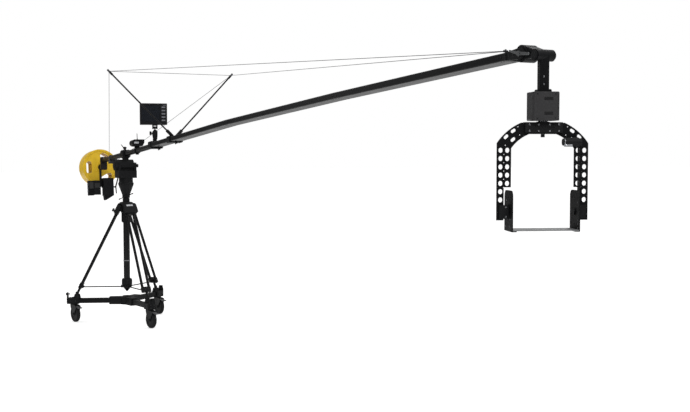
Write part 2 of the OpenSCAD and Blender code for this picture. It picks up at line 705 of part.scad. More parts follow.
// Plug fixed in a tube's front end that reaches into the next tube
module spigot(l, gap) translate([l - 40, 0, 0]) difference() {
    union() {
        bar_x(40, boom_w - 2 * boom_wall, boom_h - 2 * boom_wall, boom_r - boom_wall);
        bar_x(40 + gap + spigot_l, boom_w - 2 * boom_wall - 3, boom_h - 2 * boom_wall - 5, 4);
    }
    translate([-1, 0, 0]) bar_x(60 + gap + spigot_l, boom_w - 2 * boom_wall - 11,
        boom_h - 2 * boom_wall - 13, 2);
}
module boom_section_1() color("#242528") axis_frame() translate([section_start, 0, 0]) {
    boom_tube(section_1_l);
    spigot(section_1_l, joint_gap_1);
}
module boom_section_2() color("#242528") section_2_frame() translate([joint_gap_1, 0, 0]) {
    boom_tube(section_2_l - joint_gap_1);
    spigot(section_2_l - joint_gap_1, joint_gap_2);
}
module boom_section_3() color("#242528") section_3_frame() translate([joint_gap_2, 0, 0])
    boom_tube(section_3_l - joint_gap_2);

// Counterweights
module weight_bar() color("#a9abae") axis_frame() {
    translate([-rear_tube_back - 18, 0, 0]) difference() {
        hanger_w = 62;
        union() {
            translate([0, 0, -bar_drop / 2]) bar_x(18 - seat, hanger_w, bar_drop + 66, 14);
            cyl_x(rear_tube_d - 2 * rear_tube_wall - slip, 60);
        }
        translate([-1, 0, 22]) cyl_x(10, 30);
    }
    translate([-bar_end + 57, 0, -bar_drop]) cyl_x(bar_d, bar_end - rear_tube_back - 74);
    translate([-bar_end + 54, 0, -bar_drop]) cyl_x(bar_d - 2.4, 8);
    translate([-bar_end, 0, -bar_drop]) cyl_x(bar_d - 0.6, 55);
    translate([-plate_start + seat, 0, -bar_drop]) cyl_x(bar_d + 26, 10);
}
grip_l = 116;
grip_w = 52;
module weight_plate() difference() {
    rotate([0, 90, 0]) rotate_extrude($fn = 96) polygon([[bar_d / 2 + 0.5, 0],
        [42, 0], [48, 7], [plate_d / 2 - 24, 8], [plate_d / 2 - 18, 1], [plate_d / 2 - 3, 0],
        [plate_d / 2, 3], [plate_d / 2, plate_t - 3], [plate_d / 2 - 3, plate_t],
        [plate_d / 2 - 18, plate_t - 1], [plate_d / 2 - 24, plate_t - 8], [48, plate_t - 7],
        [42, plate_t], [bar_d / 2 + 0.5, plate_t]]);
    for (a = [90, -30, -150]) rotate([a, 0, 0]) translate([-1, 0, plate_d / 2 - 62])
        rotate([90, 0, 90]) linear_extrude(plate_t + 2) grip_outline();
}
module grip_outline() {
    square([grip_l - grip_w, grip_w], center = true);
    for (s = [-1, 1]) translate([s * (grip_l - grip_w) / 2, 0]) circle(d = grip_w);
}
module weight_plates() color("#f1c928") axis_frame() for (i = [0:plate_count - 1])
    translate([-plate_start - plate_t - i * (plate_t + 0.4), 0, -bar_drop]) weight_plate();
collar_x = plate_start + plate_count * (plate_t + 0.4) + seat;
collar_t = 22;
module weight_collar() color("#9b9da1") axis_frame() translate([-collar_x - collar_t, 0, -bar_drop])
    difference() {
        union() {
            cyl_x(58, collar_t);
            translate([8, 0, 20]) cylinder(d = 14, h = 22);
            translate([7, 0, 42]) cylinder(d = 27, h = 12, $fn = 12);
        }
        translate([-1, 0, 0]) cyl_x(bar_d + 2 * run, collar_t + 2);
    }

// Control boxes that hang in front of the plates
hang_x = -704;
box_top = -bar_drop - 131;
control_y = 42;
control_top = box_top + 22;
module control_box() color("#1d1e21") axis_frame() translate([hang_x, 0, 0]) {
    translate([0, 0, -bar_drop]) difference() {
        union() {
            translate([-8, -25, -22]) cube([16, 50, 44]);
            translate([-8, -27, -190]) cube([16, 18, 186]);
        }
        translate([-20, 0, 0]) cyl_x(bar_d, 40);
    }
    translate([-5, -12, control_top - 90]) cube([12, 10, 60]);
    translate([control_l / 2 - 6, control_y, control_top - control_h]) {
        post_box(control_l, control_w, control_h, 6);
        rotate([90, 0, 90]) linear_extrude(control_l - 14, center = true)
            polygon([[5 - control_w / 2, 2], [control_w / 2 - 5, 2], [control_w / 2 - 22, -10],
                [20 - control_w / 2, -42], [10 - control_w / 2, -40]]);
    }
    translate([control_l / 2 + 2, 0, 0]) rotate([90, 0, 90]) linear_extrude(9)
        polygon([[80, -240], [108, -246], [137, -157], [146, -159], [119, -251], [122, -313],
            [114, -314], [110, -259], [80, -252]]);
}
module power_box() color("#26272b") axis_frame() translate([hang_x, 0, box_top - 1]) {
    translate([12, -120, -power_h]) difference() {
        post_box(46, power_w, power_h, 4);
        for (i = [0:8]) translate([17, -power_w, 10 + i * 11]) cube([10, 2 * power_w, 5]);
    }
    translate([9, -60.3, -power_h + 6]) post_box(34, 66, power_h - 4, 4);
    translate([0, -98, -30]) cube([16, 20, 20]);
}

// Struts and stay cables
strut_foot_y = 26;
strut_foot_z = boom_h / 2 + 16;
tip = [0, strut_reach, strut_rise];
foot = [0, strut_foot_y, strut_foot_z];
strut_dir = (tip - foot) / norm(tip - foot);
module strut_clamp() color("#232427") axis_frame() translate([strut_at, 0, 0]) difference() {
    union() {
        translate([-27, 0, 0]) bar_x(54, boom_w + 16, boom_h + 16, 10);
        both_sides() rod(foot - strut_dir * 14, foot + strut_dir * 52, 26);
    }
    translate([-30, 0, 0]) bar_x(60, boom_w, boom_h, boom_r);
    both_sides() rod(foot, foot + strut_dir * 80, strut_d);
    translate([0, 12, -boom_h / 2 - 20]) cylinder(d = 10 + 2 * run, h = 22);
}
module strut_lever() color("#1d1e20") axis_frame()
    translate([strut_at, 12, -boom_h / 2 - 8 - seat]) rotate([0, 0, -28]) {
        cylinder(d = 10, h = 7.5);
        translate([0, 0, -6]) cylinder(d = 20, h = 6);
        translate([0, 0, -4]) rotate([0, 100, 0]) cylinder(d1 = 9, d2 = 7, h = 66);
    }
module struts() color("#47484b") axis_frame() translate([strut_at, 0, 0]) both_sides() {
    rod(foot, tip - strut_dir * 24, strut_d);
    rod(tip - strut_dir * 50, tip - strut_dir * 24, strut_d + 5);
}
cable_y = strut_reach - strut_dir[1] * 14;
cable_z = strut_rise - strut_dir[2] * 14;
eye_x = nose_l - 155;
eye_z = boom_h / 2 + 16;
function world_3(along, side, up) = [bend_2[0] + along * cos(rise_3) - up * sin(rise_3), side,
    bend_2[1] + along * sin(rise_3) + up * cos(rise_3)];
function world_1(along, side, up) = [boom_pt(along, boom_lift + up)[0], side,
    boom_pt(along, boom_lift + up)[1]];
module stay_cables() color("#8e9093") {
    axis_frame() translate([strut_at, 0, 0]) both_sides()
        rod(tip - strut_dir * (24 - seat), tip + strut_dir * 4, strut_d + 3);
    at_column() {
        both_sides() {
            tip_w = world_1(strut_at, cable_y, cable_z);
            low_w = world_1(-rear_anchor_at, 22, -44);
            back = (tip_w - low_w) / norm(tip_w - low_w);
            rod(tip_w, world_3(eye_x, 7, eye_z), stay_d);
            rod(low_w + back * 30, tip_w, stay_d);
            rod(low_w, low_w + back * 64, 9);
        }
        rod(world_1(strut_at, -cable_y, cable_z), world_1(strut_at, cable_y, cable_z), stay_d);
        rod(world_3(eye_x, 0, boom_h / 2), world_3(eye_x, 0, eye_z + 9), 8);
        rod(world_3(eye_x, -11, eye_z), world_3(eye_x, 11, eye_z), 11);
    }
    axis_frame() translate([-rear_anchor_at, 0, 0]) difference() {
        union() {
            translate([-9, 0, 0]) cyl_x(rear_tube_d + 14, 18);
            translate([0, 0, -38]) cube([14, 60, 26], center = true);
        }
        translate([-20, 0, 0]) cyl_x(rear_tube_d, 40);
    }
}

// Monitor and its arm
mon_clamp_l = 56;
mon_clamp_h = 62;
mon_x = section_start - 23;
module monitor_clamp() color("#232427") axis_frame() translate([section_start, 0, 0]) difference() {
    union() {
        translate([-40, 0, 0]) bar_x(mon_clamp_l, boom_w + 10, mon_clamp_h, 12);
        translate([-23, 0, mon_clamp_h / 2 - 12]) cylinder(d = 34, h = 26);
    }
    translate([-60, 0, 0]) cyl_x(rear_tube_d, 90);
    bar_x(60, boom_w, boom_h, boom_r);
    translate([-14, 32, -mon_clamp_h / 2 - 10]) cylinder(d = 10 + 2 * run, h = 17);
    translate([-23, 0, mon_clamp_h / 2 - 3]) cylinder(d = 14 + 2 * run, h = 40);
}
module monitor_lever() color("#1d1e20") axis_frame()
    translate([section_start - 14, 32, -mon_clamp_h / 2 - seat]) rotate([0, 0, -28]) {
        cylinder(d = 10, h = 6);
        translate([0, 0, -6]) cylinder(d = 20, h = 6);
        translate([0, 0, -4]) rotate([0, 100, 0]) cylinder(d1 = 9, d2 = 7, h = 60);
    }
arm_foot_z = mon_clamp_h / 2 + 14 + seat;
arm_knob_z = arm_foot_z + 54;
module monitor_arm() color("#26272a") axis_frame() translate([mon_x, 0, 0])
    rotate([0, boom_rise, 0]) rotate([0, 0, monitor_turn]) {
        rotate([0, 0, -monitor_turn]) rotate([0, -boom_rise, 0]) {
            translate([0, 0, mon_clamp_h / 2]) cylinder(d = 14, h = 18);
            translate([0, 0, arm_foot_z]) cylinder(d = 34, h = 8);
        }
        translate([0, 0, arm_foot_z + 2]) rotate([90, 0, 90]) translate([0, 0, -15]) linear_extrude(30)
            polygon([[-14, 0], [17, 0], [20, 38], [20, 68], [8, 80], [-8, 80], [-20, 64], [-20, 34]]);
        translate([0, -18, arm_knob_z]) rotate([90, 0, 0]) cylinder(d = 12, h = 14);
        translate([0, -30, arm_knob_z]) rotate([90, 0, 0]) cylinder(d = 32, h = 13, $fn = 16);
        translate([0, 0, arm_foot_z + 78]) cylinder(d = 11, h = monitor_ball_z - arm_foot_z - 78);
        translate([0, 0, monitor_ball_z]) cyl_y(20, 24);
        translate([0, 0, monitor_ball_z]) cyl_y(8, 44);
    }
module monitor_frame() axis_frame() translate([mon_x, 0, 0]) rotate([0, boom_rise, 0])
    rotate([0, 0, monitor_turn]) translate([0, 0, monitor_ball_z]) children();
screen_w = 150;
screen_h = 136;
mon_bottom = 22;
module monitor_case() color("#1f2023") monitor_frame() difference() {
    union() {
        translate([0, monitor_shift, mon_bottom + monitor_h / 2]) rotate([90, 0, 90])
            translate([0, 0, -monitor_t / 2]) linear_extrude(monitor_t) rounded(monitor_w, monitor_h, 5);
        for (s = [-1, 1]) translate([0, s * 16.5, 6])
            cube([26, 8, 2 * mon_bottom - 12], center = true);
        translate([0, 0, mon_bottom - 3]) cube([34, 41, 8], center = true);
        for (s = [-1, 1]) translate([0, s * 16.5, 0]) cyl_y(26, 8);
    }
    cyl_y(8 + 2 * run, 100);
    translate([monitor_t / 2 - 2, monitor_shift - monitor_w / 2 + 12, mon_bottom + 26])
        cube([10, screen_w, screen_h]);
    translate([monitor_t / 2 - 4, monitor_shift + monitor_w / 2 - 46, mon_bottom + 32]) for (i = [0:4])
        translate([0, 0, i * 27]) cube([10, 30 + 2 * slip, 12 + 2 * slip]);
    cyl_y(20 + 2 * run, 24.6);
}
module monitor_keys() color("#55585c") monitor_frame()
    translate([monitor_t / 2 - 3 + slip, monitor_shift + monitor_w / 2 - 46 + slip,
        mon_bottom + 32 + slip])
    for (i = [0:4]) translate([0, 0, i * 27]) cube([4.5, 30, 12]);

// Receiver
module receiver_clamp() color("#222326") axis_frame() translate([receiver_at, 0, 0]) difference() {
    union() {
        translate([-16, 0, 0]) cyl_x(rear_tube_d + 14, 32);
        translate([0, 0, rear_tube_d / 2 + 4]) post_box(32, 40, 10, 4);
        translate([0, 0, -rear_tube_d / 2 - 4]) cube([22, 22, 18], center = true);
    }
    translate([-20, 0, 0]) cyl_x(rear_tube_d, 40);
}
module receiver_box() color("#1e1f22") axis_frame()
    translate([receiver_at, 0, rear_tube_d / 2 + 14 + seat]) {
        rotate([90, 0, 90]) translate([0, 0, -receiver_l / 2]) linear_extrude(receiver_l) difference() {
            union() {
                translate([-receiver_w / 2 + receiver_h / 2, receiver_h / 2]) circle(d = receiver_h);
                translate([-receiver_w / 2 + receiver_h / 2, 0])
                    square([receiver_w - receiver_h / 2, receiver_h]);
            }
            translate([receiver_w / 2 - 16, -1]) polygon([[0, 0], [20, 0], [20, 40]]);
        }
        translate([receiver_l / 2 - 12, -4, receiver_h]) cylinder(d = 9, h = 7);
        translate([receiver_l / 2 - 12, -4, receiver_h]) cylinder(d1 = 6, d2 = 5, h = 52);
    }

// Levelling nose
cheek_nose_t = 11;
cheek_nose_y = nose_drum_w / 2 + seat + cheek_nose_t / 2;
module boom_fork() color("#202124") section_3_frame() difference() {
    union() {
        translate([section_3_l - 60, 0, 0]) bar_x(61, boom_w - 2 * boom_wall,
            boom_h - 2 * boom_wall, boom_r - boom_wall);
        translate([section_3_l, 0, 0]) bar_x(24, boom_w, boom_h, boom_r);
        for (s = [-1, 1]) translate([nose_l, s * cheek_nose_y, 0]) {
            plate_y([[-fork_reach + 1, -17], [-10, -25], [0, -24], [0, 24], [-10, 25],
                [-fork_reach + 1, 17]], cheek_nose_t);
            cyl_y(54, cheek_nose_t);
        }
    }
    translate([section_3_l - 70, 0, 0]) bar_x(66, boom_w - 2 * boom_wall - 10,
        boom_h - 2 * boom_wall - 10, 3);
    translate([nose_l, 0, 0]) cyl_y(nose_pin_d, 200);
}
link_t = 5;
link_y = cheek_nose_y + cheek_nose_t / 2 + seat + link_t / 2;
module levelling_links() color("#c9cbce") section_3_frame() translate([nose_l, 0, 0]) {
    cyl_y(nose_pin_d, 2 * link_y + 10);
    for (s = [-1, 1]) translate([0, s * link_y, 0]) {
        plate_y([[-66, 26], [-62, 16], [0, -8], [66, -16], [72, -10], [68, -4], [0, 9]], link_t);
        cyl_y(26, link_t);
    }
}

module nose_block() color("#2a2b2e") nose_frame() difference() {
    union() {
        cyl_y(nose_drum_d, nose_drum_w);
        plate_y([[0, 38], [22, 32], [nose_reach - 30, 14], [nose_reach, 10],
            [nose_reach, -barrel_drop - 20], [nose_reach - 24, -barrel_drop - 8],
            [30, -24], [0, -30]], 62);
        translate([nose_reach, 0, -barrel_drop]) cyl_y(barrel_d, barrel_l);
        for (s = [-1, 1]) translate([nose_reach, s * (barrel_l / 2 + 3), -barrel_drop])
            cyl_y(barrel_d - 12, 8);
    }
    cyl_y(nose_pin_d + 2 * run, 200);
    for (s = [-1, 1]) translate([46, s * 31, -4]) cube([34, 8, 18], center = true);
}

flange_t = 9;
module head_post() color("#232427") head_frame() {
    difference() {
        translate([0, 0, pan_box_top_z + flange_t]) post_box(post_w, post_w,
            barrel_z - pan_box_top_z - flange_t, 4);
        rotate([0, 0, -head_turn]) translate([0, 0, barrel_z]) cyl_y(barrel_d, 200);
        rotate([0, 0, -head_turn]) translate([-70, -60, barrel_z - 12]) cube([50, 120, 40]);
    }
    translate([0, 0, pan_box_top_z + seat]) post_box(61, 61, flange_t, 4);
    for (z = [32, 66]) translate([post_w / 2, -4, pan_box_top_z + z]) cyl_x(8, 3);
}
pan_box_z = pan_box_top_z - pan_box_h;
module pan_box() color("#3a3b3e") head_frame() difference() {
    intersection() {
        translate([0, 0, pan_box_z + pan_box_h / 2]) rotate([90, 0, 90])
            linear_extrude(pan_box_t + 10, center = true) rounded(pan_box_w + 0.6, pan_box_h, 9);
        translate([0, 0, pan_box_z - 5]) post_box(pan_box_t, pan_box_w, pan_box_h + 10, 14);
    }
    translate([0, 0, pan_box_z - 1]) cylinder(d = pan_shaft_d + 2 * run, h = 40);
}

// Pan shaft with the bridge that clamps the yoke plate
bridge_w = 168;
bridge_t = 17;
module pan_shaft() color("#2b2c2f") head_frame() {
    translate([0, 0, yoke_top_z + 0.2]) cylinder(d = pan_shaft_d, h = pan_box_z + 36 - yoke_top_z);
    translate([0, 0, yoke_top_z + 0.2]) cylinder(d = 58, h = 4);
    for (s = [-1, 1]) translate([s * (yoke_t / 2 + bridge_t / 2 + 0.1), 0, yoke_top_z - yoke_bar_h + 6])
        translate([-bridge_t / 2, -bridge_w / 2, 0]) cube([bridge_t, bridge_w, yoke_bar_h - 4]);
    for (y = [-66, -25, 25, 66], z = [yoke_top_z - 8, yoke_top_z - 36])
        translate([yoke_t / 2 + bridge_t, y, z]) cyl_x(7, 3);
    translate([0, 0, yoke_top_z - yoke_bar_h - 14]) cylinder(d = 18, h = 13.8, $fn = 6);
}

// Yoke plate
leg_in = yoke_w / 2 - yoke_leg_w;
leg_mid = yoke_w / 2 - yoke_leg_w / 2;
arch_r = 248;
arch_z = yoke_top_z - 228;
inner_r = 174;
inner_z = yoke_top_z - 213;
sweep_z = hole_top_z - 4.45 * hole_pitch;
module cyl_n(d, y, z, l) translate([-l / 2, y, z]) cyl_x(d, l);
module oval(y, z) {
    translate([0, y, z]) rotate([90, 0, 90]) linear_extrude(40, center = true) {
        square([hole_w, hole_h - hole_w], center = true);
        for (s = [-1, 1]) translate([0, s * (hole_h - hole_w) / 2]) circle(d = hole_w, $fn = 32);
    }
}
module slot(y, z, turn) translate([0, y, z]) rotate([turn, 0, 0]) rotate([90, 0, 90])
    linear_extrude(40, center = true) {
        square([10, 14], center = true);
        for (s = [-1, 1]) translate([s * 5, 0]) circle(d = 14, $fn = 24);
    }
module yoke_plate() color("#1f2022") head_frame() difference() {
    intersection() {
        translate([-yoke_t / 2, -yoke_w / 2, yoke_foot_z])
            cube([yoke_t, yoke_w, yoke_top_z - yoke_foot_z]);
        union() {
            cyl_n(2 * arch_r, 0, arch_z, 20);
            translate([-10, -yoke_w / 2 - 1, yoke_foot_z - 1])
                cube([20, yoke_w + 2, arch_z + 120 - yoke_foot_z]);
        }
    }
    translate([-20, -leg_in, yoke_foot_z - 1]) cube([40, 2 * leg_in, inner_z + 100.6 - yoke_foot_z]);
    intersection() {
        cyl_n(2 * inner_r, 0, inner_z, 40);
        translate([-20, -leg_in, inner_z]) cube([40, 2 * leg_in, yoke_top_z - yoke_bar_h - inner_z]);
    }
    for (s = [-1, 1]) {
        translate([-20, s > 0 ? leg_in - 1 : -leg_mid, yoke_foot_z - 1])
            cube([40, yoke_leg_w / 2 + 1, sweep_z - yoke_foot_z]);
        for (i = [0:hole_rows - 1]) oval(s * (leg_mid + hole_gap / 2), hole_top_z - i * hole_pitch);
        for (i = [0:4]) oval(s * (leg_mid - hole_gap / 2), hole_top_z - i * hole_pitch);
        for (i = [0:4]) cyl_n(4.5, s * leg_mid, hole_top_z - (i + 0.5) * hole_pitch, 40);
        slot(s * 165, 1604, s * -44);
        slot(s * 133, 1630, s * -34);
        slot(s * 134, 1592, s * -40);
        cyl_n(5, s * 112, 1648, 40);
        cyl_n(5, s * 104, 1612, 40);
        cyl_n(5, s * 168, 1567, 40);
    }
}

// Tilt motor, its mount and the guarded drive behind the far leg, with both bearings
motor_z = 1581;
motor_n = 27;
bearing_y = cradle_w / 2 + 1;
module tilt_motor() color("#1b1c1e") head_frame() {
    translate([motor_n, 122, motor_z]) {
        cyl_y(40, 62);
        translate([0, -35, 0]) cyl_y(30, 10);
        translate([0, 36, 0]) cyl_y(34, 14);
        translate([-motor_n + yoke_t / 2, -4, -20]) cube([motor_n - 8, 34, 40]);
    }
    translate([-yoke_t / 2 - 38, leg_mid - 2, sweep_z + 4]) cube([38, 4, 180]);
    translate([-yoke_t / 2 - 38, leg_mid - 2, yoke_foot_z + 8])
        cube([38, 4, sweep_z - yoke_foot_z]);
    for (s = [-1, 1]) difference() {
        translate([0, s * (bearing_y + (leg_mid - bearing_y) / 2), cradle_axis_z])
            cube([26, leg_mid - bearing_y, 60], center = true);
        translate([0, s * bearing_y, cradle_axis_z]) cyl_y(16 + 2 * run, 40);
    }
    for (s = [-1, 1], n = [-1, 1]) translate([n > 0 ? yoke_t / 2 : -13, s > 0 ? leg_mid - 1 : -leg_mid - 22,
        cradle_axis_z - 30]) {
        cube([13 - yoke_t / 2, 23, 60]);
    }
}

// Camera cradle
cradle_foot_z = cradle_axis_z - 85;
platform_z = cradle_foot_z + 4 + seat;
module side_plate() difference() {
    union() {
        rotate([90, 0, 0]) linear_extrude(cradle_t, center = true) {
            translate([-cradle_d / 2, 0]) square([cradle_d, cradle_h - cradle_r]);
            translate([-cradle_d / 2 + cradle_r, 0]) square([cradle_d - 2 * cradle_r, cradle_h]);
            for (s = [-1, 1]) translate([s * (cradle_d / 2 - cradle_r), cradle_h - cradle_r])
                circle(cradle_r);
        }
    }
    for (x = [-36, 0, 36], z = [30, cradle_h - 32]) translate([x, 0, z]) cyl_y(7, 20);
}
module cradle() color("#242528") head_frame() for (s = [-1, 1]) {
    translate([0, s * (cradle_w / 2 - cradle_t / 2), cradle_foot_z]) side_plate();
    translate([0, s * (cradle_w / 2 + 7), cradle_axis_z]) cyl_y(16, 16);
    translate([0, s * (cradle_w / 2 - cradle_t - 3), cradle_axis_z]) cyl_y(30, 6);
    translate([-cradle_d / 2, s > 0 ? cradle_w / 2 - cradle_t - 16 : -cradle_w / 2 + cradle_t,
        cradle_foot_z]) cube([cradle_d, 16, 4]);
}
module camera_platform() color("#b9bbbe") head_frame() difference() {
    translate([-cradle_d / 2, -cradle_w / 2 + cradle_t + 0.2, platform_z])
        cube([cradle_d, cradle_w - 2 * cradle_t - 0.4, 4]);
    translate([0, 0, platform_z - 1]) cylinder(d = screw_hole_d, h = 10);
    for (s = [-1, 1]) translate([-5, s * 62 - 30, platform_z - 1]) cube([10, 60, 10]);
}

dolly_hub();
dolly_arms();
dolly_ends();
foot_clamps();
crown();
upper_legs();
lower_legs();
leg_feet();
leg_pins();
leg_knob();
spreader_hub();
spreader_bars();
caster_fork(0);  // caster_fork_front
caster_fork(1);  // caster_fork_far
caster_fork(2);  // caster_fork_near
wheel(0);  // wheel_front
wheel(1);  // wheel_far
wheel(2);  // wheel_near
brake_pedal(0);  // brake_pedal_front
brake_pedal(1);  // brake_pedal_far
brake_pedal(2);  // brake_pedal_near
column_tube();
column_lever();
bowl_cone();
bowl_lever();
pan_base();
tilt_block();
tilt_knob();
boom_saddle();
saddle_lever();
rear_tube();
boom_section_1();
boom_section_2();
boom_section_3();
weight_bar();
weight_plates();
weight_collar();
power_box();
control_box();
strut_clamp();
strut_lever();
struts();
stay_cables();
monitor_clamp();
monitor_lever();
monitor_arm();
monitor_case();
monitor_keys();
receiver_box();
receiver_clamp();
boom_fork();
levelling_links();
nose_block();
head_post();
pan_box();
pan_shaft();
yoke_plate();
tilt_motor();
cradle();
camera_platform();
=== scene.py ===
# %% [markdown]
# # A camera jib crane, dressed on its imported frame
# The frame below comes from the solid model: every tube, casting, plate and wheel is already
# there, in metres. This script never moves those pieces. It gives each one a finish, and adds
# the small things that a maker fits last: screws, glass, bare plates, ribs and sockets.

# %% Load the frame
import json
import math

import bmesh
import bpy
from mathutils import Matrix, Vector


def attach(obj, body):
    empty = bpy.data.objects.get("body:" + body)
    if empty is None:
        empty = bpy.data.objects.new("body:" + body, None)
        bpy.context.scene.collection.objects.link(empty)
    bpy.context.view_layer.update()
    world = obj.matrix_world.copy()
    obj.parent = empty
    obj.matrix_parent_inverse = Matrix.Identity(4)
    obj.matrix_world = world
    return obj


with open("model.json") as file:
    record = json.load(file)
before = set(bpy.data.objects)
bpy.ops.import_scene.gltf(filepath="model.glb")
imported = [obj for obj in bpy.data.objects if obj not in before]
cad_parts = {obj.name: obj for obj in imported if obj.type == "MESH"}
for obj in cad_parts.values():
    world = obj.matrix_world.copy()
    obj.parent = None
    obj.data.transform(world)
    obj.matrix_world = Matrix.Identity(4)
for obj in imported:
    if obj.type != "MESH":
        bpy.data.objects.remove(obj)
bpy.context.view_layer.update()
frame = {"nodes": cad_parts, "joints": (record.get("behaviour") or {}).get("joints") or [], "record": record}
parts = frame["nodes"]
record = frame["record"]
joints = {j["name"]: j for j in frame["joints"]}

# %% [markdown]
# ## Where things are
# Each stretch of the crane has its own tilted frame. A 4 by 4 matrix holds one such frame, so a
# screw can be placed with plain numbers, such as 20 mm along and 5 mm up, and the matrix carries
# it to its place on the crane. The joints of the record give the origins. The boom rises, and
# each of its three box sections hangs a little lower than the one before, so it needs three.

# %% Frames of the boom
RISE = math.radians(5.7)
SAG_1, SAG_2 = math.radians(1.2), math.radians(0.5)
SECTION_START, SECTION_1, SECTION_2, SECTION_3 = 0.803, 1.568, 1.555, 1.604
BOOM_OVER_AXIS = 0.0965


def place(point, turn_y=0.0, turn_z=0.0):
    return (Matrix.Translation(point) @ Matrix.Rotation(turn_z, 4, "Z")
            @ Matrix.Rotation(turn_y, 4, "Y"))


tilt_at = Vector(joints["boom_tilt"]["pos_m"])
BOOM = place(tilt_at, -RISE) @ Matrix.Translation((0, 0, BOOM_OVER_AXIS))
bend_1 = BOOM @ Vector((SECTION_START + SECTION_1, 0, 0))
SECOND = place(bend_1, -(RISE - SAG_1))
bend_2 = SECOND @ Vector((SECTION_2, 0, 0))
THIRD = place(bend_2, -(RISE - SAG_1 - SAG_2))
print("the boom bends at x =", round(bend_1.x, 3), "and", round(bend_2.x, 3))

# %% Frames of the nose, the turned head and the monitor
HEAD_TURN, SCREEN_TURN = math.radians(-23), math.radians(-12)
NOSE = place(joints["nose_level"]["pos_m"])
HEAD = place((joints["head_pan"]["pos_m"][0], 0, 0), 0, HEAD_TURN)
SCREEN = place(joints["monitor_tilt"]["pos_m"], 0, SCREEN_TURN)
print("nose at", [round(v, 3) for v in NOSE.translation])

# %% Frames of the column, the legs and the wheeled base
column_x = tilt_at.x
COLUMN = place((column_x, 0, 0))
LEG_TURNS = [math.radians(5.3 + 120 * i) for i in range(3)]
HINGE_OUT, HINGE_UP, FOOT_OUT, FOOT_UP = 0.062, 1.010, 0.440, 0.250
SPLAY = math.atan((FOOT_OUT - HINGE_OUT) / (HINGE_UP - FOOT_UP))
ARMS = [COLUMN @ Matrix.Rotation(a, 4, "Z") for a in LEG_TURNS]
LEGS = [arm @ Matrix.Translation((HINGE_OUT, 0, HINGE_UP)) @ Matrix.Rotation(-SPLAY, 4, "Y")
        for arm in ARMS]
NAMES = ["front", "far", "near"]
WHEELS = [Vector(joints["roll_" + n]["pos_m"]) for n in NAMES]
print("column at x =", round(column_x, 4), "legs splayed", round(math.degrees(SPLAY), 1), "degrees")

# %% [markdown]
# ## Shader groups
# Paint, castings and tubes share the same few effects. Each effect is one node group with named
# sockets, built once. A group only puts out masks, shades and heights. The shader itself stays
# in the material, where its plain numbers are written on its own sockets.

# %% Helpers for node trees
def add(tree, kind, values=None, **props):
    n = tree.nodes.new(kind)
    for k, v in props.items():
        setattr(n, k, v)
    for k, v in (values or {}).items():
        if isinstance(v, bpy.types.NodeSocket):
            tree.links.new(v, n.inputs[k])
        else:
            n.inputs[k].default_value = v
    return n


def maths(tree, operation, first, second=0.5):
    return add(tree, "ShaderNodeMath", {0: first, 1: second}, operation=operation).outputs[0]


def mix_colour(tree, share, first, second):
    return add(tree, "ShaderNodeMix", {0: share, 6: first, 7: second}, data_type="RGBA").outputs[2]


def shader_group(name, inputs, outputs):
    group = bpy.data.node_groups.new(name, "ShaderNodeTree")
    for label, kind, value in inputs:
        socket = group.interface.new_socket(label, in_out="INPUT", socket_type=kind)
        if value is not None:
            socket.default_value = value
    for label in outputs:
        group.interface.new_socket(label, in_out="OUTPUT", socket_type="NodeSocketFloat")
    return group, group.nodes.new("NodeGroupInput"), group.nodes.new("NodeGroupOutput")


FLOAT, VECTOR = "NodeSocketFloat", "NodeSocketVector"
print("node helpers ready")

# %% [markdown]
# Powder coat and castings are finely pebbled. A fast noise gives that height, and a slow one
# lets the colour drift a little, as it does over any real coat.

# %% Fine grain of powder coat and castings
grain, gi, go = shader_group(
    "fine_grain",
    [("Place", VECTOR, None), ("Grain per metre", FLOAT, 900.0), ("Roughening", FLOAT, 0.6)],
    ["Height", "Shade"])
small = add(grain, "ShaderNodeTexNoise", {"Vector": gi.outputs[0], "Scale": gi.outputs[1],
                                          "Detail": 2.0, "Roughness": gi.outputs[2]})
wide = add(grain, "ShaderNodeTexNoise", {"Vector": gi.outputs[0], "Scale": 14.0, "Detail": 4.0})
grain.links.new(small.outputs[0], go.inputs[0])
grain.links.new(wide.outputs[0], go.inputs[1])
print("group fine_grain:", len(grain.nodes), "nodes")

# %% [markdown]
# Hands and transport cases polish the edges of a crane, but never evenly. A slow, cloudy noise
# says where, and a fast one breaks those clouds into specks. A threshold that slides up by a
# fixed step gives both a soft border.

# %% Rubbed patches, where hands and cases touch
rubbed, gi, go = shader_group(
    "rubbed_patches",
    [("Place", VECTOR, None), ("Patches per metre", FLOAT, 9.0), ("Spread", FLOAT, 0.5)],
    ["Mask", "Fine mask"])
cloud = add(rubbed, "ShaderNodeTexNoise", {"Vector": gi.outputs[0], "Scale": gi.outputs[1],
                                           "Detail": 6.0, "Roughness": 0.62})
top = maths(rubbed, "ADD", gi.outputs[2], 0.18)
mask = add(rubbed, "ShaderNodeMapRange", {"Value": cloud.outputs[0], "From Min": gi.outputs[2],
                                          "From Max": top})
speck = add(rubbed, "ShaderNodeTexNoise", {"Vector": gi.outputs[0], "Scale": 160.0, "Detail": 3.0})
speck_mask = add(rubbed, "ShaderNodeMapRange", {"Value": speck.outputs[0], "From Min": 0.66,
                                                "From Max": 0.72})
rubbed.links.new(mask.outputs[0], go.inputs[0])
rubbed.links.new(maths(rubbed, "MULTIPLY", mask.outputs[0], speck_mask.outputs[0]), go.inputs[1])
print("group rubbed_patches:", len(rubbed.nodes), "nodes")

# %% [markdown]
# A tube is drawn through a die and a block is milled, and both keep fine parallel lines. Noise
# that is squeezed hard in two directions and hardly in the third turns into such lines, which
# costs less than a picture and never repeats.

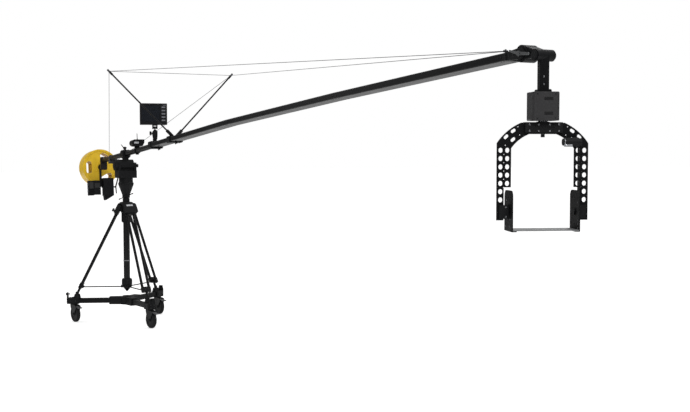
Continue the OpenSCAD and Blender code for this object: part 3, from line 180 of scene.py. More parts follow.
# %% Brushed lines of machined and drawn metal
brushed, gi, go = shader_group(
    "brushed_lines", [("Place", VECTOR, None), ("Squeeze", VECTOR, (4.0, 400.0, 400.0))],
    ["Height", "Shade"])
squeezed = add(brushed, "ShaderNodeVectorMath", {0: gi.outputs[0], 1: gi.outputs[1]},
               operation="MULTIPLY")
lines = add(brushed, "ShaderNodeTexNoise", {"Vector": squeezed.outputs[0], "Scale": 1.0,
                                            "Detail": 3.0})
slow = add(brushed, "ShaderNodeTexNoise", {"Vector": gi.outputs[0], "Scale": 6.0, "Detail": 2.0})
brushed.links.new(lines.outputs[0], go.inputs[0])
brushed.links.new(slow.outputs[0], go.inputs[1])
print("group brushed_lines:", len(brushed.nodes), "nodes")

# %% [markdown]
# Dust lies where a face looks up. The upward part of the normal picks those faces, and a noise
# thins the film in places, so that it doesn't read as a coat of grey paint.

# %% Dust that settles on faces turned up
dust, gi, go = shader_group(
    "settled_dust", [("Place", VECTOR, None), ("Upward", FLOAT, 0.0), ("Amount", FLOAT, 0.3)],
    ["Mask"])
lifted = add(dust, "ShaderNodeMapRange", {"Value": gi.outputs[1], "From Min": 0.55,
                                          "From Max": 1.0})
drift = add(dust, "ShaderNodeTexNoise", {"Vector": gi.outputs[0], "Scale": 35.0, "Detail": 5.0})
spread = add(dust, "ShaderNodeMapRange", {"Value": drift.outputs[0], "From Min": 0.35,
                                          "From Max": 0.75})
film = maths(dust, "MULTIPLY", lifted.outputs[0], spread.outputs[0])
dust.links.new(maths(dust, "MULTIPLY", film, gi.outputs[2]), go.inputs[0])
print("group settled_dust:", len(dust.nodes), "nodes")

# %% [markdown]
# ## Finishes
# Nearly every piece of this crane is black, so the eye tells them apart by gloss and texture:
# powder coat is even and finely pebbled, castings are coarser, anodised tubes show drawn lines,
# and moulded plastic is soft. One function writes these, from a few plain numbers.

# %% One function for the dark and bare finishes
DUST_GREY = (0.30, 0.29, 0.27, 1)


def shades(colour, share):
    return (*[min(1.0, c * share) for c in colour], 1.0)


def split(tree, vector):
    return add(tree, "ShaderNodeSeparateXYZ", {0: vector}).outputs


def finish_of(name, colour, roughness, metallic=0.0, specular=0.5, texture="grain", size=900.0,
              depth=0.02, dusty=0.25, worn=0.25, squeeze=(4.0, 400.0, 400.0), rub_to=1.8):
    m = bpy.data.materials.new(name)
    m.use_nodes = True
    tree = m.node_tree
    shader = tree.nodes["Principled BSDF"]
    shader.inputs["Metallic"].default_value = metallic
    shader.inputs["Specular IOR Level"].default_value = specular
    where = add(tree, "ShaderNodeTexCoord").outputs["Object"]
    up = split(tree, add(tree, "ShaderNodeNewGeometry").outputs["Normal"])[2]
    if texture == "grain":
        look = add(tree, "ShaderNodeGroup", node_tree=grain)
        look.inputs["Grain per metre"].default_value = size
    else:
        look = add(tree, "ShaderNodeGroup", node_tree=brushed)
        look.inputs["Squeeze"].default_value = squeeze
    patches = add(tree, "ShaderNodeGroup", node_tree=rubbed)
    patches.inputs["Spread"].default_value = 0.52
    film = add(tree, "ShaderNodeGroup", node_tree=dust)
    film.inputs["Amount"].default_value = dusty
    for g in (look, patches, film):
        tree.links.new(where, g.inputs["Place"])
    tree.links.new(up, film.inputs["Upward"])
    base = mix_colour(tree, look.outputs["Shade"], shades(colour, 0.78), shades(colour, 1.22))
    wear = maths(tree, "MULTIPLY", patches.outputs["Fine mask"], worn)
    rub = mix_colour(tree, wear, base, shades([c + 0.02 for c in colour], rub_to))
    tree.links.new(mix_colour(tree, film.outputs[0], rub, DUST_GREY), shader.inputs["Base Color"])
    sheen = add(tree, "ShaderNodeMapRange", {"Value": patches.outputs["Mask"], "To Min": roughness,
                                             "To Max": max(0.05, roughness - 0.12)})
    dull = maths(tree, "MULTIPLY", film.outputs[0], 0.5)
    tree.links.new(maths(tree, "ADD", sheen.outputs[0], dull), shader.inputs["Roughness"])
    bump = add(tree, "ShaderNodeBump", {"Height": look.outputs["Height"], "Strength": 0.35,
                                        "Distance": depth / 100})
    tree.links.new(bump.outputs[0], shader.inputs["Normal"])
    return m


print("one function for all plain finishes")

# %% [markdown]
# Each slot of the record gets one finish here. The blacks are darker than a paint chart says,
# because the white room round the crane lifts every black face.

# %% The finishes of the crane
DRAWN, TURNED = (9.0, 500.0, 500.0), (500.0, 30.0, 30.0)
finishes = {
    "black_metal": finish_of("satin_powder_coat", (0.0065, 0.0067, 0.0073), 0.42, specular=0.11,
                             size=1300.0, dusty=0.05),
    "cast_black": finish_of("painted_casting", (0.0075, 0.0077, 0.0084), 0.5, specular=0.12,
                            size=650.0, depth=0.05, dusty=0.05),
    "tube_black": finish_of("anodised_tube", (0.0055, 0.0056, 0.0062), 0.34, specular=0.12,
                            texture="lines", depth=0.006, dusty=0.03, squeeze=DRAWN),
    "bare_metal": finish_of("machined_aluminium", (0.60, 0.61, 0.63), 0.34, metallic=1.0,
                            texture="lines", depth=0.01, dusty=0.08, worn=0.1, rub_to=0.7),
    "bright_steel": finish_of("turned_steel", (0.42, 0.43, 0.45), 0.3, metallic=1.0,
                              texture="lines", depth=0.008, dusty=0.08, worn=0.15,
                              squeeze=TURNED, rub_to=0.6),
    "wheel_rubber": finish_of("wheel_rubber", (0.009, 0.009, 0.0095), 0.68, specular=0.15,
                              size=420.0, depth=0.05, dusty=0.08, worn=0.4, rub_to=2.0),
    "black_plastic": finish_of("moulded_plastic", (0.0068, 0.007, 0.0082), 0.5, specular=0.13,
                               size=1500.0, depth=0.03, dusty=0.04),
    "motor_case": finish_of("motor_housing", (0.023, 0.0225, 0.0235), 0.46, specular=0.3,
                            size=1000.0, depth=0.03, dusty=0.05),
    "key_grey": finish_of("grey_keys", (0.15, 0.155, 0.17), 0.55, specular=0.35, size=1800.0,
                          depth=0.01),
    "cable_steel": finish_of("wire_rope", (0.055, 0.056, 0.06), 0.42, metallic=0.6, specular=0.3,
                             texture="lines", depth=0.03, dusty=0.02,
                             squeeze=(700.0, 500.0, 500.0)),
    "dark_screw": finish_of("blackened_screw", (0.030, 0.030, 0.032), 0.32, metallic=0.6,
                            specular=0.3, size=1600.0, depth=0.004, dusty=0.05, worn=0.1),
}
print("finishes:", ", ".join(sorted(finishes)))

# %% [markdown]
# ## Yellow enamel
# The weights are cast iron discs under thick yellow enamel. Enamel flows, so it has a faint
# orange peel and a clear gloss, and it chips to dark iron where the discs knock together. The
# chips come from a fine noise that counts only close to the rim, which a distance from the
# disc's own axis finds.

# %% Enamel with chips near the rim
CHIPS_FROM, PLATE_RIM = 0.160, 0.1705
IRON = (0.05, 0.04, 0.03, 1)


def from_axis(tree, where, point, axis):
    off = add(tree, "ShaderNodeVectorMath", {0: where, 1: point}, operation="SUBTRACT")
    side = add(tree, "ShaderNodeVectorMath", {0: off.outputs[0], 1: axis},
               operation="CROSS_PRODUCT")
    return add(tree, "ShaderNodeVectorMath", {0: side.outputs[0]}, operation="LENGTH").outputs[1]


def blend_over(tree, shader, share, colour):
    before = shader.inputs["Base Color"].links[0].from_socket
    tree.links.new(mix_colour(tree, share, before, colour), shader.inputs["Base Color"])


def enamel(axis_point, axis):
    m = finish_of("yellow_enamel", (0.80, 0.52, 0.03), 0.32, specular=0.3, size=260.0, depth=0.02,
                  dusty=0.1, worn=0.0)
    tree = m.node_tree
    where = add(tree, "ShaderNodeTexCoord").outputs["Object"]
    rim = add(tree, "ShaderNodeMapRange", {"Value": from_axis(tree, where, axis_point, axis),
                                           "From Min": CHIPS_FROM, "From Max": PLATE_RIM})
    chips = add(tree, "ShaderNodeTexNoise", {"Vector": where, "Scale": 95.0, "Detail": 4.0,
                                             "Roughness": 0.7})
    bar = maths(tree, "SUBTRACT", 0.73, maths(tree, "MULTIPLY", rim.outputs[0], 0.08))
    chipped = maths(tree, "GREATER_THAN", chips.outputs[0], bar)
    blend_over(tree, tree.nodes["Principled BSDF"], chipped, IRON)
    return m


plate_axis = BOOM @ Vector((-0.8, 0, -0.056))
finishes["yellow_plate"] = enamel(plate_axis, (math.cos(RISE), 0, math.sin(RISE)))
print("yellow enamel round", [round(v, 3) for v in plate_axis])

# %% [markdown]
# ## The column's bright stop ring
# The ring on the centre column is part of the same solid as the tube, but it is bare metal. Its
# band of height picks it out, so one material holds both finishes and blends them with a mask.

# %% A tube with one bright band
RING_LOW, RING_HIGH = 0.5405, 0.5485


def banded_tube():
    m = finish_of("column_tube", (0.0065, 0.0067, 0.0073), 0.3, specular=0.2, texture="lines",
                  depth=0.006, squeeze=(60.0, 60.0, 3.0))
    tree = m.node_tree
    shader = tree.nodes["Principled BSDF"]
    height = split(tree, add(tree, "ShaderNodeTexCoord").outputs["Object"])[2]
    band = maths(tree, "MULTIPLY", maths(tree, "GREATER_THAN", height, RING_LOW),
                 maths(tree, "LESS_THAN", height, RING_HIGH))
    blend_over(tree, shader, band, (0.26, 0.265, 0.275, 1))
    tree.links.new(band, shader.inputs["Metallic"])
    return m


column_finish = banded_tube()
print("column ring from", RING_LOW, "to", RING_HIGH)

# %% [markdown]
# ## Wheels with a moulded rim
# A caster wheel is one rubber tread bonded to a plastic centre. The change shows as a ring, so
# the distance from the wheel's own axle splits the material in two, with fine turned rings in
# the tread and a smoother, slightly paler centre.

# %% One wheel finish for each wheel's axle
CENTRE_RADIUS, RINGS_PER_METRE = 0.0545, 1600.0


def wheel_finish(name, centre, axle):
    m = finish_of("tread_" + name, (0.009, 0.009, 0.0095), 0.66, specular=0.15, size=420.0,
                  depth=0.05, dusty=0.08, worn=0.4, rub_to=2.0)
    tree = m.node_tree
    shader = tree.nodes["Principled BSDF"]
    where = add(tree, "ShaderNodeTexCoord").outputs["Object"]
    far = from_axis(tree, where, centre, axle)
    cloudy = add(tree, "ShaderNodeTexNoise", {"Vector": where, "Scale": 60.0}).outputs[0]
    pale = mix_colour(tree, cloudy, (0.012, 0.012, 0.013, 1), (0.019, 0.019, 0.0205, 1))
    blend_over(tree, shader, maths(tree, "LESS_THAN", far, CENTRE_RADIUS), pale)
    wave = maths(tree, "SINE", maths(tree, "MULTIPLY", far, RINGS_PER_METRE))
    grained = shader.inputs["Normal"].links[0].from_socket
    turned = add(tree, "ShaderNodeBump", {"Height": wave, "Strength": 0.25, "Distance": 0.0003,
                                          "Normal": grained})
    tree.links.new(turned.outputs[0], shader.inputs["Normal"])
    return m


wheel_finishes = {n: wheel_finish(n, tuple(WHEELS[i]), tuple(joints["roll_" + n]["axis"]))
                  for i, n in enumerate(NAMES)}
print("wheel finishes:", sorted(wheel_finishes))

# %% [markdown]
# ## Dressing the solid nodes
# The record says which finish each node takes. The nodes keep their own meshes, and only their
# material slots change. A few nodes take a special finish: the weight bar is steel with a black
# oxide skin, the straps beside the nose are aluminium that has gone dull, and the cradle's black
# powder coat is made darker, as painted shade over its side plates.

# %% Give each node its finish
special = {
    "column_tube": column_finish,
    "camera_platform": finish_of("bead_blasted_aluminium", (0.28, 0.285, 0.29), 0.5, metallic=1.0,
                                 size=1500.0, depth=0.01, dusty=0.05, worn=0.1, rub_to=0.7),
    "weight_bar": finish_of("black_oxide", (0.020, 0.019, 0.019), 0.36, metallic=0.5,
                            specular=0.3, texture="lines", depth=0.008, dusty=0.05,
                            squeeze=TURNED),
    # The cradle's coat is the black powder coat made darker and duller: painted shade for its side plates.
    "cradle": finish_of("cradle_coat_darkened_as_shade", (0.0055, 0.0056, 0.006), 0.5, specular=0.07,
                        size=1300.0, dusty=0.05),
    "levelling_links": finish_of("dull_aluminium", (0.20, 0.205, 0.21), 0.42, metallic=1.0,
                                 texture="lines", depth=0.01, dusty=0.05, worn=0.1, rub_to=0.7),
}
pedal_finish = finish_of("zinc_plated_pedal", (0.10, 0.10, 0.105), 0.45, metallic=0.8,
                         size=900.0, depth=0.01, dusty=0.1, worn=0.3, rub_to=1.4)
for n in NAMES:
    special["wheel_" + n] = wheel_finishes[n]
    special["brake_pedal_" + n] = pedal_finish
slot_of = {part["node"]: part["material_slot"] for part in record["subparts"]}
for name, part in parts.items():
    part.data.materials.clear()
    part.data.materials.append(special.get(name, finishes[slot_of[name]]))
print("dressed", len(parts), "nodes")

# %% [markdown]
# ## Making a piece
# Each added piece is built at the place where it sits, with its object left at the origin, so
# that its pattern and its export agree with the solid nodes. A piece then rides on a body, and
# the record's slot that it is given picks its finish, unless a finish of its own is passed.

# %% Turn a mesh into a piece that rides on a body
def settle(name, mesh, body, smooth):
    obj = bpy.data.objects.new(name, mesh)
    bpy.context.scene.collection.objects.link(obj)
    mesh.shade_smooth()
    mesh.set_sharp_from_angle(angle=math.radians(smooth))
    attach(obj, body)
    return obj


def mesh_of(name, bm):
    bmesh.ops.recalc_face_normals(bm, faces=bm.faces)
    mesh = bpy.data.meshes.new(name)
    bm.to_mesh(mesh)
    bm.free()
    return mesh


def piece(name, bm, body, slot, finish=None):
    mesh = mesh_of(name, bm)
    mesh.materials.append(finish or finishes[slot])
    return settle(name, mesh, body, 35)


print("pieces can be made")

# %% [markdown]
# Glass, tags, covers and ribs are all flat slabs with rounded corners and a small chamfer where
# the light catches them. One outline of points, raised in three rings, makes each of these, and
# it has far fewer faces than a bevelled box.

# %% Slabs with rounded corners
def outline(width, height, corner, steps=5):
    points = []
    for cx, cy, start in ((1, 1, 0), (-1, 1, 90), (-1, -1, 180), (1, -1, 270)):
        for i in range(steps + 1):
            a = math.radians(start + 90 * i / steps)
            points.append((cx * (width / 2 - corner) + corner * math.cos(a),
                           cy * (height / 2 - corner) + corner * math.sin(a)))
    return points


def skin(bm, loops, closed=False):
    for a, b in zip(loops, loops[1:] + (loops[:1] if closed else [])):
        for i in range(len(a)):
            j = (i + 1) % len(a)
            bm.faces.new((a[i], a[j], b[j], b[i]))
    if not closed:
        bm.faces.new(loops[0][::-1])
        bm.faces.new(loops[-1])
    return bm


def slab(matrix, points, thick, lip):
    bm = bmesh.new()
    rings = []
    for z, inset in ((0.0, 0.0), (thick - lip, 0.0), (thick, lip)):
        ring = []
        for x, y in points:
            k = 1 - inset / max(abs(x), abs(y), 1e-6)
            ring.append(bm.verts.new(matrix @ Vector((x * k, y * k, z))))
        rings.append(ring)
    return skin(bm, rings)


print("a tag has", len(outline(0.060, 0.015, 0.002)), "corners")

# %% [markdown]
# Caps, seals, sockets and cups are turned on a lathe. Their profile is a short list of radii
# and heights, spun round an axis. Where the piece has a bore, the last ring joins the first.
# Where it is solid, both ends are closed by one flat face, so no pole is left open.

# %% Turned shapes, and a frame that faces a way
def lathe(matrix, profile, steps=32, hollow=True, bm=None):
    bm = bmesh.new() if bm is None else bm
    angles = [math.tau * i / steps for i in range(steps)]
    rings = [[bm.verts.new(matrix @ Vector((r * math.cos(a), r * math.sin(a), z)))
              for a in angles] for r, z in profile]
    return skin(bm, rings, hollow)


def facing(matrix, point, normal, up=(0, 0, 1)):
    z = Vector(normal).normalized()
    x = Vector(up).cross(z)
    x = x.normalized() if x.length > 1e-5 else Vector((1, 0, 0))
    local = Matrix((x, z.cross(x), z)).transposed().to_4x4()
    local.translation = Vector(point)
    return matrix @ local


AHEAD, BEHIND, UP, DOWN, TO_NEAR = (1, 0, 0), (-1, 0, 0), (0, 0, 1), (0, 0, -1), (0, -1, 0)
SIDES = (-1, 1)
print("lathe ready")

# %% [markdown]
# ## Screws
# More than two hundred screw heads are set on the crane. One small socket head is modelled, and
# Geometry Nodes copy it to points that carry a facing direction and a size. Copying points is
# quicker than modelling each head, and a new screw is one more line in a list. Real heads are
# turned at random, so each copy gets its own turn about its axis.

# %% One socket head
HEAD_SIDES, FULL_TURN = 18, 6.28


def socket_head():
    bm = bmesh.new()
    angles = [math.tau * i / HEAD_SIDES for i in range(HEAD_SIDES)]
    rings = [[bm.verts.new((r * math.cos(a), r * math.sin(a), z)) for a in angles]
             for r, z in ((1.0, 0.0), (1.0, 0.86), (0.88, 1.0), (0.56, 1.0))]
    for z in (1.0, 0.35):
        ring = []
        for a in angles:
            flat = 0.52 * math.cos(math.pi / 6) / math.cos((a % (math.pi / 3)) - math.pi / 6)
            ring.append(bm.verts.new((flat * math.cos(a), flat * math.sin(a), z)))
        rings.append(ring)
    mesh = mesh_of("socket_head", skin(bm, rings))
    return bpy.data.objects.new("socket_head", mesh)


head_shape = socket_head()
print("socket head:", len(head_shape.data.polygons), "faces")

# %% [markdown]
# The tree reads two attributes of each point: where the head faces, and how wide it is. The
# turn about its own axis comes from a random value with a fixed seed, so it is the same on
# each run. The head's height is a named share of its width, so rivets can use the same tree.

# %% The tree that sets screws on points
def tree_with(name, inputs, output):
    tree = bpy.data.node_groups.new(name, "GeometryNodeTree")
    for label, kind, value in inputs:
        socket = tree.interface.new_socket(label, in_out="INPUT", socket_type="NodeSocket" + kind)
        if value is not None:
            socket.default_value = value
    tree.interface.new_socket(output, in_out="OUTPUT", socket_type="NodeSocketGeometry")
    return tree, tree.nodes.new("NodeGroupInput").outputs, tree.nodes.new("NodeGroupOutput")


def realize(tree, copies, finish, ends):
    real = add(tree, "GeometryNodeRealizeInstances", {0: copies})
    done = add(tree, "GeometryNodeSetMaterial", {"Geometry": real.outputs[0], "Material": finish})
    tree.links.new(done.outputs[0], ends.inputs[0])


def screw_tree():
    tree, given, ends = tree_with(
        "screws_on_points", [("Points", "Geometry", None), ("Head", "Object", None),
                             ("Height share", "Float", 0.55), ("Finish", "Material", None)],
        "Screws")
    points = add(tree, "GeometryNodeMeshToPoints", {"Mesh": given[0]})
    normal = add(tree, "GeometryNodeInputNamedAttribute", {"Name": "facing"},
                 data_type="FLOAT_VECTOR").outputs["Attribute"]
    size = add(tree, "GeometryNodeInputNamedAttribute", {"Name": "size"},
               data_type="FLOAT").outputs["Attribute"]
    aim = add(tree, "FunctionNodeAlignRotationToVector", {"Vector": normal}, axis="Z")
    turn = add(tree, "FunctionNodeRandomValue", {"Seed": 7}, data_type="FLOAT")
    turn.inputs[3].default_value = FULL_TURN
    spin = add(tree, "ShaderNodeCombineXYZ", {2: turn.outputs[1]})
    spun = add(tree, "FunctionNodeRotateRotation",
               {"Rotation": aim.outputs[0], "Rotate By": spin.outputs[0]}, rotation_space="LOCAL")
    scale = add(tree, "ShaderNodeCombineXYZ",
                {0: size, 1: size, 2: maths(tree, "MULTIPLY", size, given[2])})
    head = add(tree, "GeometryNodeObjectInfo", {"Object": given[1]})
    copies = add(tree, "GeometryNodeInstanceOnPoints",
                 {"Points": points.outputs[0], "Instance": head.outputs["Geometry"],
                  "Rotation": spun.outputs[0], "Scale": scale.outputs[0]})
    realize(tree, copies.outputs[0], given[3], ends)
    return tree


screws_tree = screw_tree()
print("screw tree with", len(screws_tree.nodes), "nodes")

# %% [markdown]
# A modifier runs the tree. Its inputs are set by the identifier of each socket, before the
# object is first evaluated. The result becomes a plain mesh, and the object that carried the
# modifier goes, so that nothing live is left on the piece.

# %% Grow a piece from a tree, and set screws by a list of marks
def grown(name, start, tree, values, body):
    source = bpy.data.objects.new(name + "_source", start)
    bpy.context.scene.collection.objects.link(source)
    mod = source.modifiers.new("grow", "NODES")
    mod.node_group = tree
    for item in tree.interface.items_tree:
        if item.item_type == "SOCKET" and item.in_out == "INPUT" and item.name in values:
            mod[item.identifier] = values[item.name]
    bpy.context.view_layer.update()
    made = source.evaluated_get(bpy.context.evaluated_depsgraph_get())
    mesh = bpy.data.meshes.new_from_object(made)
    mesh.name = name
    bpy.data.objects.remove(source)
    return settle(name, mesh, body, 30)


def screws(name, body, marks, bright=False, tall=0.55):
    mesh = bpy.data.meshes.new(name + "_points")
    mesh.from_pydata([point for point, _, _ in marks], [], [])
    mesh.attributes.new("facing", "FLOAT_VECTOR", "POINT")
    mesh.attributes.new("size", "FLOAT", "POINT")
    for i, (_, normal, radius) in enumerate(marks):
        mesh.attributes["facing"].data[i].vector = normal
        mesh.attributes["size"].data[i].value = radius
    finish = finishes["bright_steel" if bright else "dark_screw"]
    made = grown(name, mesh, screws_tree,
                 {"Head": head_shape, "Height share": tall, "Finish": finish},
                 body)
    print(name + ":", len(marks), "heads,", len(made.data.polygons), "faces")


def mark(matrix, point, normal, radius):
    turned = matrix.to_3x3() @ Vector(normal)
    return tuple(matrix @ Vector(point)), tuple(turned.normalized()), radius


def circle(count, first=0):
    return [math.radians(360 // count * i + first) for i in range(count)]


print("screws can be set")

# %% [markdown]
# ## The screws of the wheeled base and the tripod
# The castings are bolted to their tubes, the foot clamps to the end castings, and thin cover
# plates to the crown. Real makers use one or two screw sizes for a whole machine, so the sizes
# here repeat too: M8 on the base, M6 on the tripod.

# %% Screws on the base
HUB_TOP, END_TOP, END_SIDE, END_FACE, SPREADER_TOP = 0.2161, 0.2131, 0.0341, 0.5291, 0.3241
COVER_FACE, COUPLER_FACE, CROWN_FACE = 0.0254, 0.0161, 0.0431
marks = []
for arm in ARMS:
    marks += [mark(arm, (x, 0, HUB_TOP), UP, 0.0062) for x in (0.090, 0.130)]
    for side in SIDES:
        marks += [mark(arm, (x, END_SIDE * side, 0.187), (0, side, 0), 0.006)
                  for x in (0.452, 0.494)]
        marks.append(mark(arm, (0.503, 0.023 * side, END_TOP), UP, 0.005))
        marks += [mark(arm, (END_FACE, 0.016 * side, z), AHEAD, 0.0048) for z in (0.178, 0.203)]
    marks.append(mark(arm, (0.037, 0, SPREADER_TOP), UP, 0.005))
for leg in LEGS:
    marks += [mark(leg, (COVER_FACE, y, -0.037), AHEAD, 0.0042) for y in (-0.043, 0.043)]
    marks += [mark(leg, (COUPLER_FACE, y, -0.767), AHEAD, 0.005) for y in (-0.014, 0.014)]
for a in LEG_TURNS:
    between = COLUMN @ Matrix.Rotation(a + math.radians(60), 4, "Z")
    marks += [mark(between, (CROWN_FACE, 0, z), AHEAD, 0.005) for z in (0.908, 0.945)]
screws("base_screws", "base", marks)

# %% [markdown]
# ## The screws of the bowl and the fluid head
# Six small screws hold the bowl's ring, and a ring of six more closes the tilt drum. They sit
# in the same circles as the parts that they close, so each circle is one short loop.

# %% Screws on the bowl and the fluid head
TILT_AXIS, DRUM_CIRCLE, DRUM_FACE, SHOE_UP = 1.400, 0.0328, -0.1041, 1.298
screws("bowl_screws", "column", [mark(COLUMN @ Matrix.Rotation(a, 4, "Z"), (0.0671, 0, 1.2322),
                                      AHEAD, 0.004) for a in circle(6)])
marks = [mark(COLUMN, (DRUM_CIRCLE * math.cos(a), DRUM_FACE, TILT_AXIS + DRUM_CIRCLE * math.sin(a)),
              TO_NEAR, 0.0034) for a in circle(6, 15)]
marks += [mark(COLUMN, (x, 0.0831 * side, SHOE_UP), (0, side, 0), 0.0048)
          for x in (-0.046, 0.046) for side in SIDES]
marks += [mark(COLUMN, (0.0641 * way, y, SHOE_UP), (way, 0, 0), 0.0048)
          for y in (-0.06, 0.06) for way in (1, -1)]
screws("head_screws", "turntable", marks)

# %% [markdown]
# ## The screws along the boom
# Each joint between two boom sections is a plug that is screwed to both tubes, from above, from
# below and from both sides. Clamps along the boom have their own screws. All of them move with
# the boom, so they are one mesh.

# %% Screws at the joints of the boom
TUBE_TOP, TUBE_SIDE = 0.0186, 0.0511


def joint_screws(stretch, places):
    made = []
    for x in places:
        made += [mark(stretch, (x, y, TUBE_TOP * up), (0, 0, up), 0.0032)
                 for y in (-0.032, 0.032) for up in SIDES]
        made += [mark(stretch, (x, TUBE_SIDE * side, 0), (0, side, 0), 0.0032) for side in SIDES]
    return made


marks = [mark(BOOM, (x, y, 0.0346), UP, 0.0055) for x in (-0.022, 0.022) for y in (-0.024, 0.024)]
for stretch, end in ((BOOM, SECTION_START + SECTION_1), (SECOND, SECTION_2), (THIRD, SECTION_3)):
    marks += joint_screws(stretch, (end - 0.03, end - 0.012))
for stretch in (SECOND, THIRD):
    marks += joint_screws(stretch, (0.016, 0.052))
print("joint screws:", len(marks))

# %% [markdown]
# The clamps are screwed from below and from the sides, the hangers from the front and the back,
# and four small screws hold the cover of the power box.

# %% Screws on the clamps, the hangers and the fork
STRUTS_AT, POWER_AT, POWER_FACE, POWER_UP = 1.238, -0.692, -0.1461, -0.188
marks += [mark(BOOM, (STRUTS_AT + x, y, -0.0266), DOWN, 0.005)
          for x in (-0.018, 0.018) for y in (-0.044, 0.044)]
marks += [mark(BOOM, (SECTION_START + x, 0.0561 * side, z), (0, side, 0), 0.0045)
          for x in (-0.030, 0.006) for side in SIDES for z in (-0.015, 0.015)]
for y in (-0.022, 0.022):
    for z in (-0.010, -0.034):
        marks.append(mark(BOOM, (-0.6581, y, z), BEHIND, 0.0048))
        marks.append(mark(BOOM, (-0.6402, y, z), AHEAD, 0.0048))
marks += [mark(BOOM, (-0.6959, y, z), AHEAD, 0.0042)
          for y in (-0.019, 0.019) for z in (-0.070, -0.042)]
marks += [mark(BOOM, (POWER_AT + x, POWER_FACE, POWER_UP + z), TO_NEAR, 0.0028)
          for x in (-0.0175, 0.0175) for z in (-0.0145, -0.129)]
marks += [mark(THIRD, (SECTION_3 + x, 0.0474 * side, 0), (0, side, 0), 0.0042)
          for x in (0.045, 0.075) for side in SIDES]
screws("boom_screws", "boom", marks, tall=0.4)

# %% [markdown]
# ## The screws of the nose, the yoke and the cradle
# The bridge that clamps the yoke shows eight bright bolts, which are the brightest dots of the
# whole head. The rest of the head is quieter: four screws on the post's flange, four on each
# face of the motor box and two on each bearing block.

# %% Screws on the nose
BARREL_OUT, BARREL_UP, BARREL_CIRCLE = 0.110, -0.014, 0.0135
marks = [mark(HEAD, (x, y, 1.8094), UP, 0.0042) for x in (-0.024, 0.024) for y in (-0.024, 0.024)]
marks += [mark(HEAD, (0.0541 * face, y, z), (face, 0, 0), 0.0032)
          for face in SIDES for y in (-0.040, 0.040) for z in (1.685, 1.789)]
marks += [mark(NOSE, (BARREL_OUT + BARREL_CIRCLE * math.cos(a), 0.0551 * side,
                      BARREL_UP + BARREL_CIRCLE * math.sin(a)), (0, side, 0), 0.0026)
          for side in SIDES for a in circle(4, 45)]
screws("nose_screws", "nose", marks)

# %% Screws on the yoke, the cradle and the post
CRADLE_AXIS, PLATE_OUT, PLATE_IN, PLATE_EDGE = 1.275, 0.1526, 0.1474, 0.046
marks = []
for y in (-0.066, -0.025, 0.025, 0.066):
    for z in (1.658, 1.630):
        marks.append(mark(HEAD, (0.0231, y, z), AHEAD, 0.0040))
        marks.append(mark(HEAD, (-0.0202, y, z), BEHIND, 0.0040))
marks += [mark(HEAD, (0.0131, 0.166 * side, CRADLE_AXIS + z), AHEAD, 0.004)
          for side in SIDES for z in (-0.021, 0.021)]
screws("yoke_screws", "yoke", marks, bright=True)
marks = [mark(HEAD, (x, PLATE_OUT * side, z), (0, side, 0), 0.0031)
         for x, z in ((-0.030, 1.325), (0.036, 1.211), (0.036, 1.243), (-0.040, 1.211))
         for side in SIDES]
marks += [mark(HEAD, (PLATE_EDGE, PLATE_IN * side, z), (0, -side, 0), 0.0027)
          for z in (1.205, 1.222, 1.239, 1.318) for side in (1, -1)]
screws("cradle_screws", "cradle", marks, bright=True)
screws("post_screws", "nose", [mark(HEAD, (0.0246, -0.004, z), AHEAD, 0.0030)
                               for z in (1.832, 1.866)], bright=True)

# %% [markdown]
# ## Repeats along a line
# Ribs, slots and sockets repeat at an even pitch. A second small tree copies one shape along a
# line: the shape is the modifier's own mesh, and the count and step are named inputs.

# %% The tree that repeats a shape along a line
def line_tree():
    tree, given, ends = tree_with(
        "repeat_along_line", [("Shape", "Geometry", None), ("Count", "Int", 4),
                              ("Step", "Vector", None), ("Finish", "Material", None)], "Row")
    line = add(tree, "GeometryNodeMeshLine", {"Count": given[1], "Offset": given[2]},
               mode="OFFSET")
    copies = add(tree, "GeometryNodeInstanceOnPoints",
                 {"Points": line.outputs[0], "Instance": given[0]})
    realize(tree, copies.outputs[0], given[3], ends)
    return tree


row_tree = line_tree()


def row(name, bm, count, step, body, slot, finish=None):
    values = {"Count": count, "Step": tuple(step), "Finish": finish or finishes[slot]}
    return grown(name, mesh_of(name + "_shape", bm), row_tree, values, body)


print("row tree with", len(row_tree.nodes), "nodes")

# %% [markdown]
# ## The monitor's glass, bezel and ribs
# The solid case has a shallow recess for the screen. The glass is a separate thin pane, as on
# the real case, where it is glued in from the front. A narrow raised bezel frames it, and a
# dark, glossy finish tells it from the moulded case. The screen stays dark and empty.

# %% Glass and bezel
SCREEN_MIDDLE, CASE_FACE = (-0.035, 0.116), 0.01505
screen_glass = finish_of("screen_glass", (0.010, 0.012, 0.016), 0.09, specular=0.5, size=30.0,
                         depth=0.0005, dusty=0.1, worn=0.0)
piece("monitor_glass", slab(facing(SCREEN, (0.0132, *SCREEN_MIDDLE), AHEAD),
                            outline(0.1490, 0.1350, 0.003), 0.0012, 0.0003),
      "monitor", "black_plastic", screen_glass)


def frame_round(matrix, outer, inner, thick):
    bm = bmesh.new()
    loops = [[bm.verts.new(matrix @ Vector((x, y, z))) for x, y in points]
             for points, z in ((outer, 0.0), (outer, thick), (inner, thick), (inner, 0.0))]
    return skin(bm, loops, closed=True)


piece("monitor_bezel", frame_round(facing(SCREEN, (CASE_FACE, *SCREEN_MIDDLE), AHEAD),
                                   outline(0.160, 0.146, 0.007), outline(0.150, 0.136, 0.003),
                                   0.0014), "monitor", "black_plastic")
print("glass and bezel fitted")

# %% [markdown]
# A screen gets warm, so the back of its case is ribbed. One rounded slab is repeated upward by
# the row tree. A thin grey strip lies over the keys on the front.

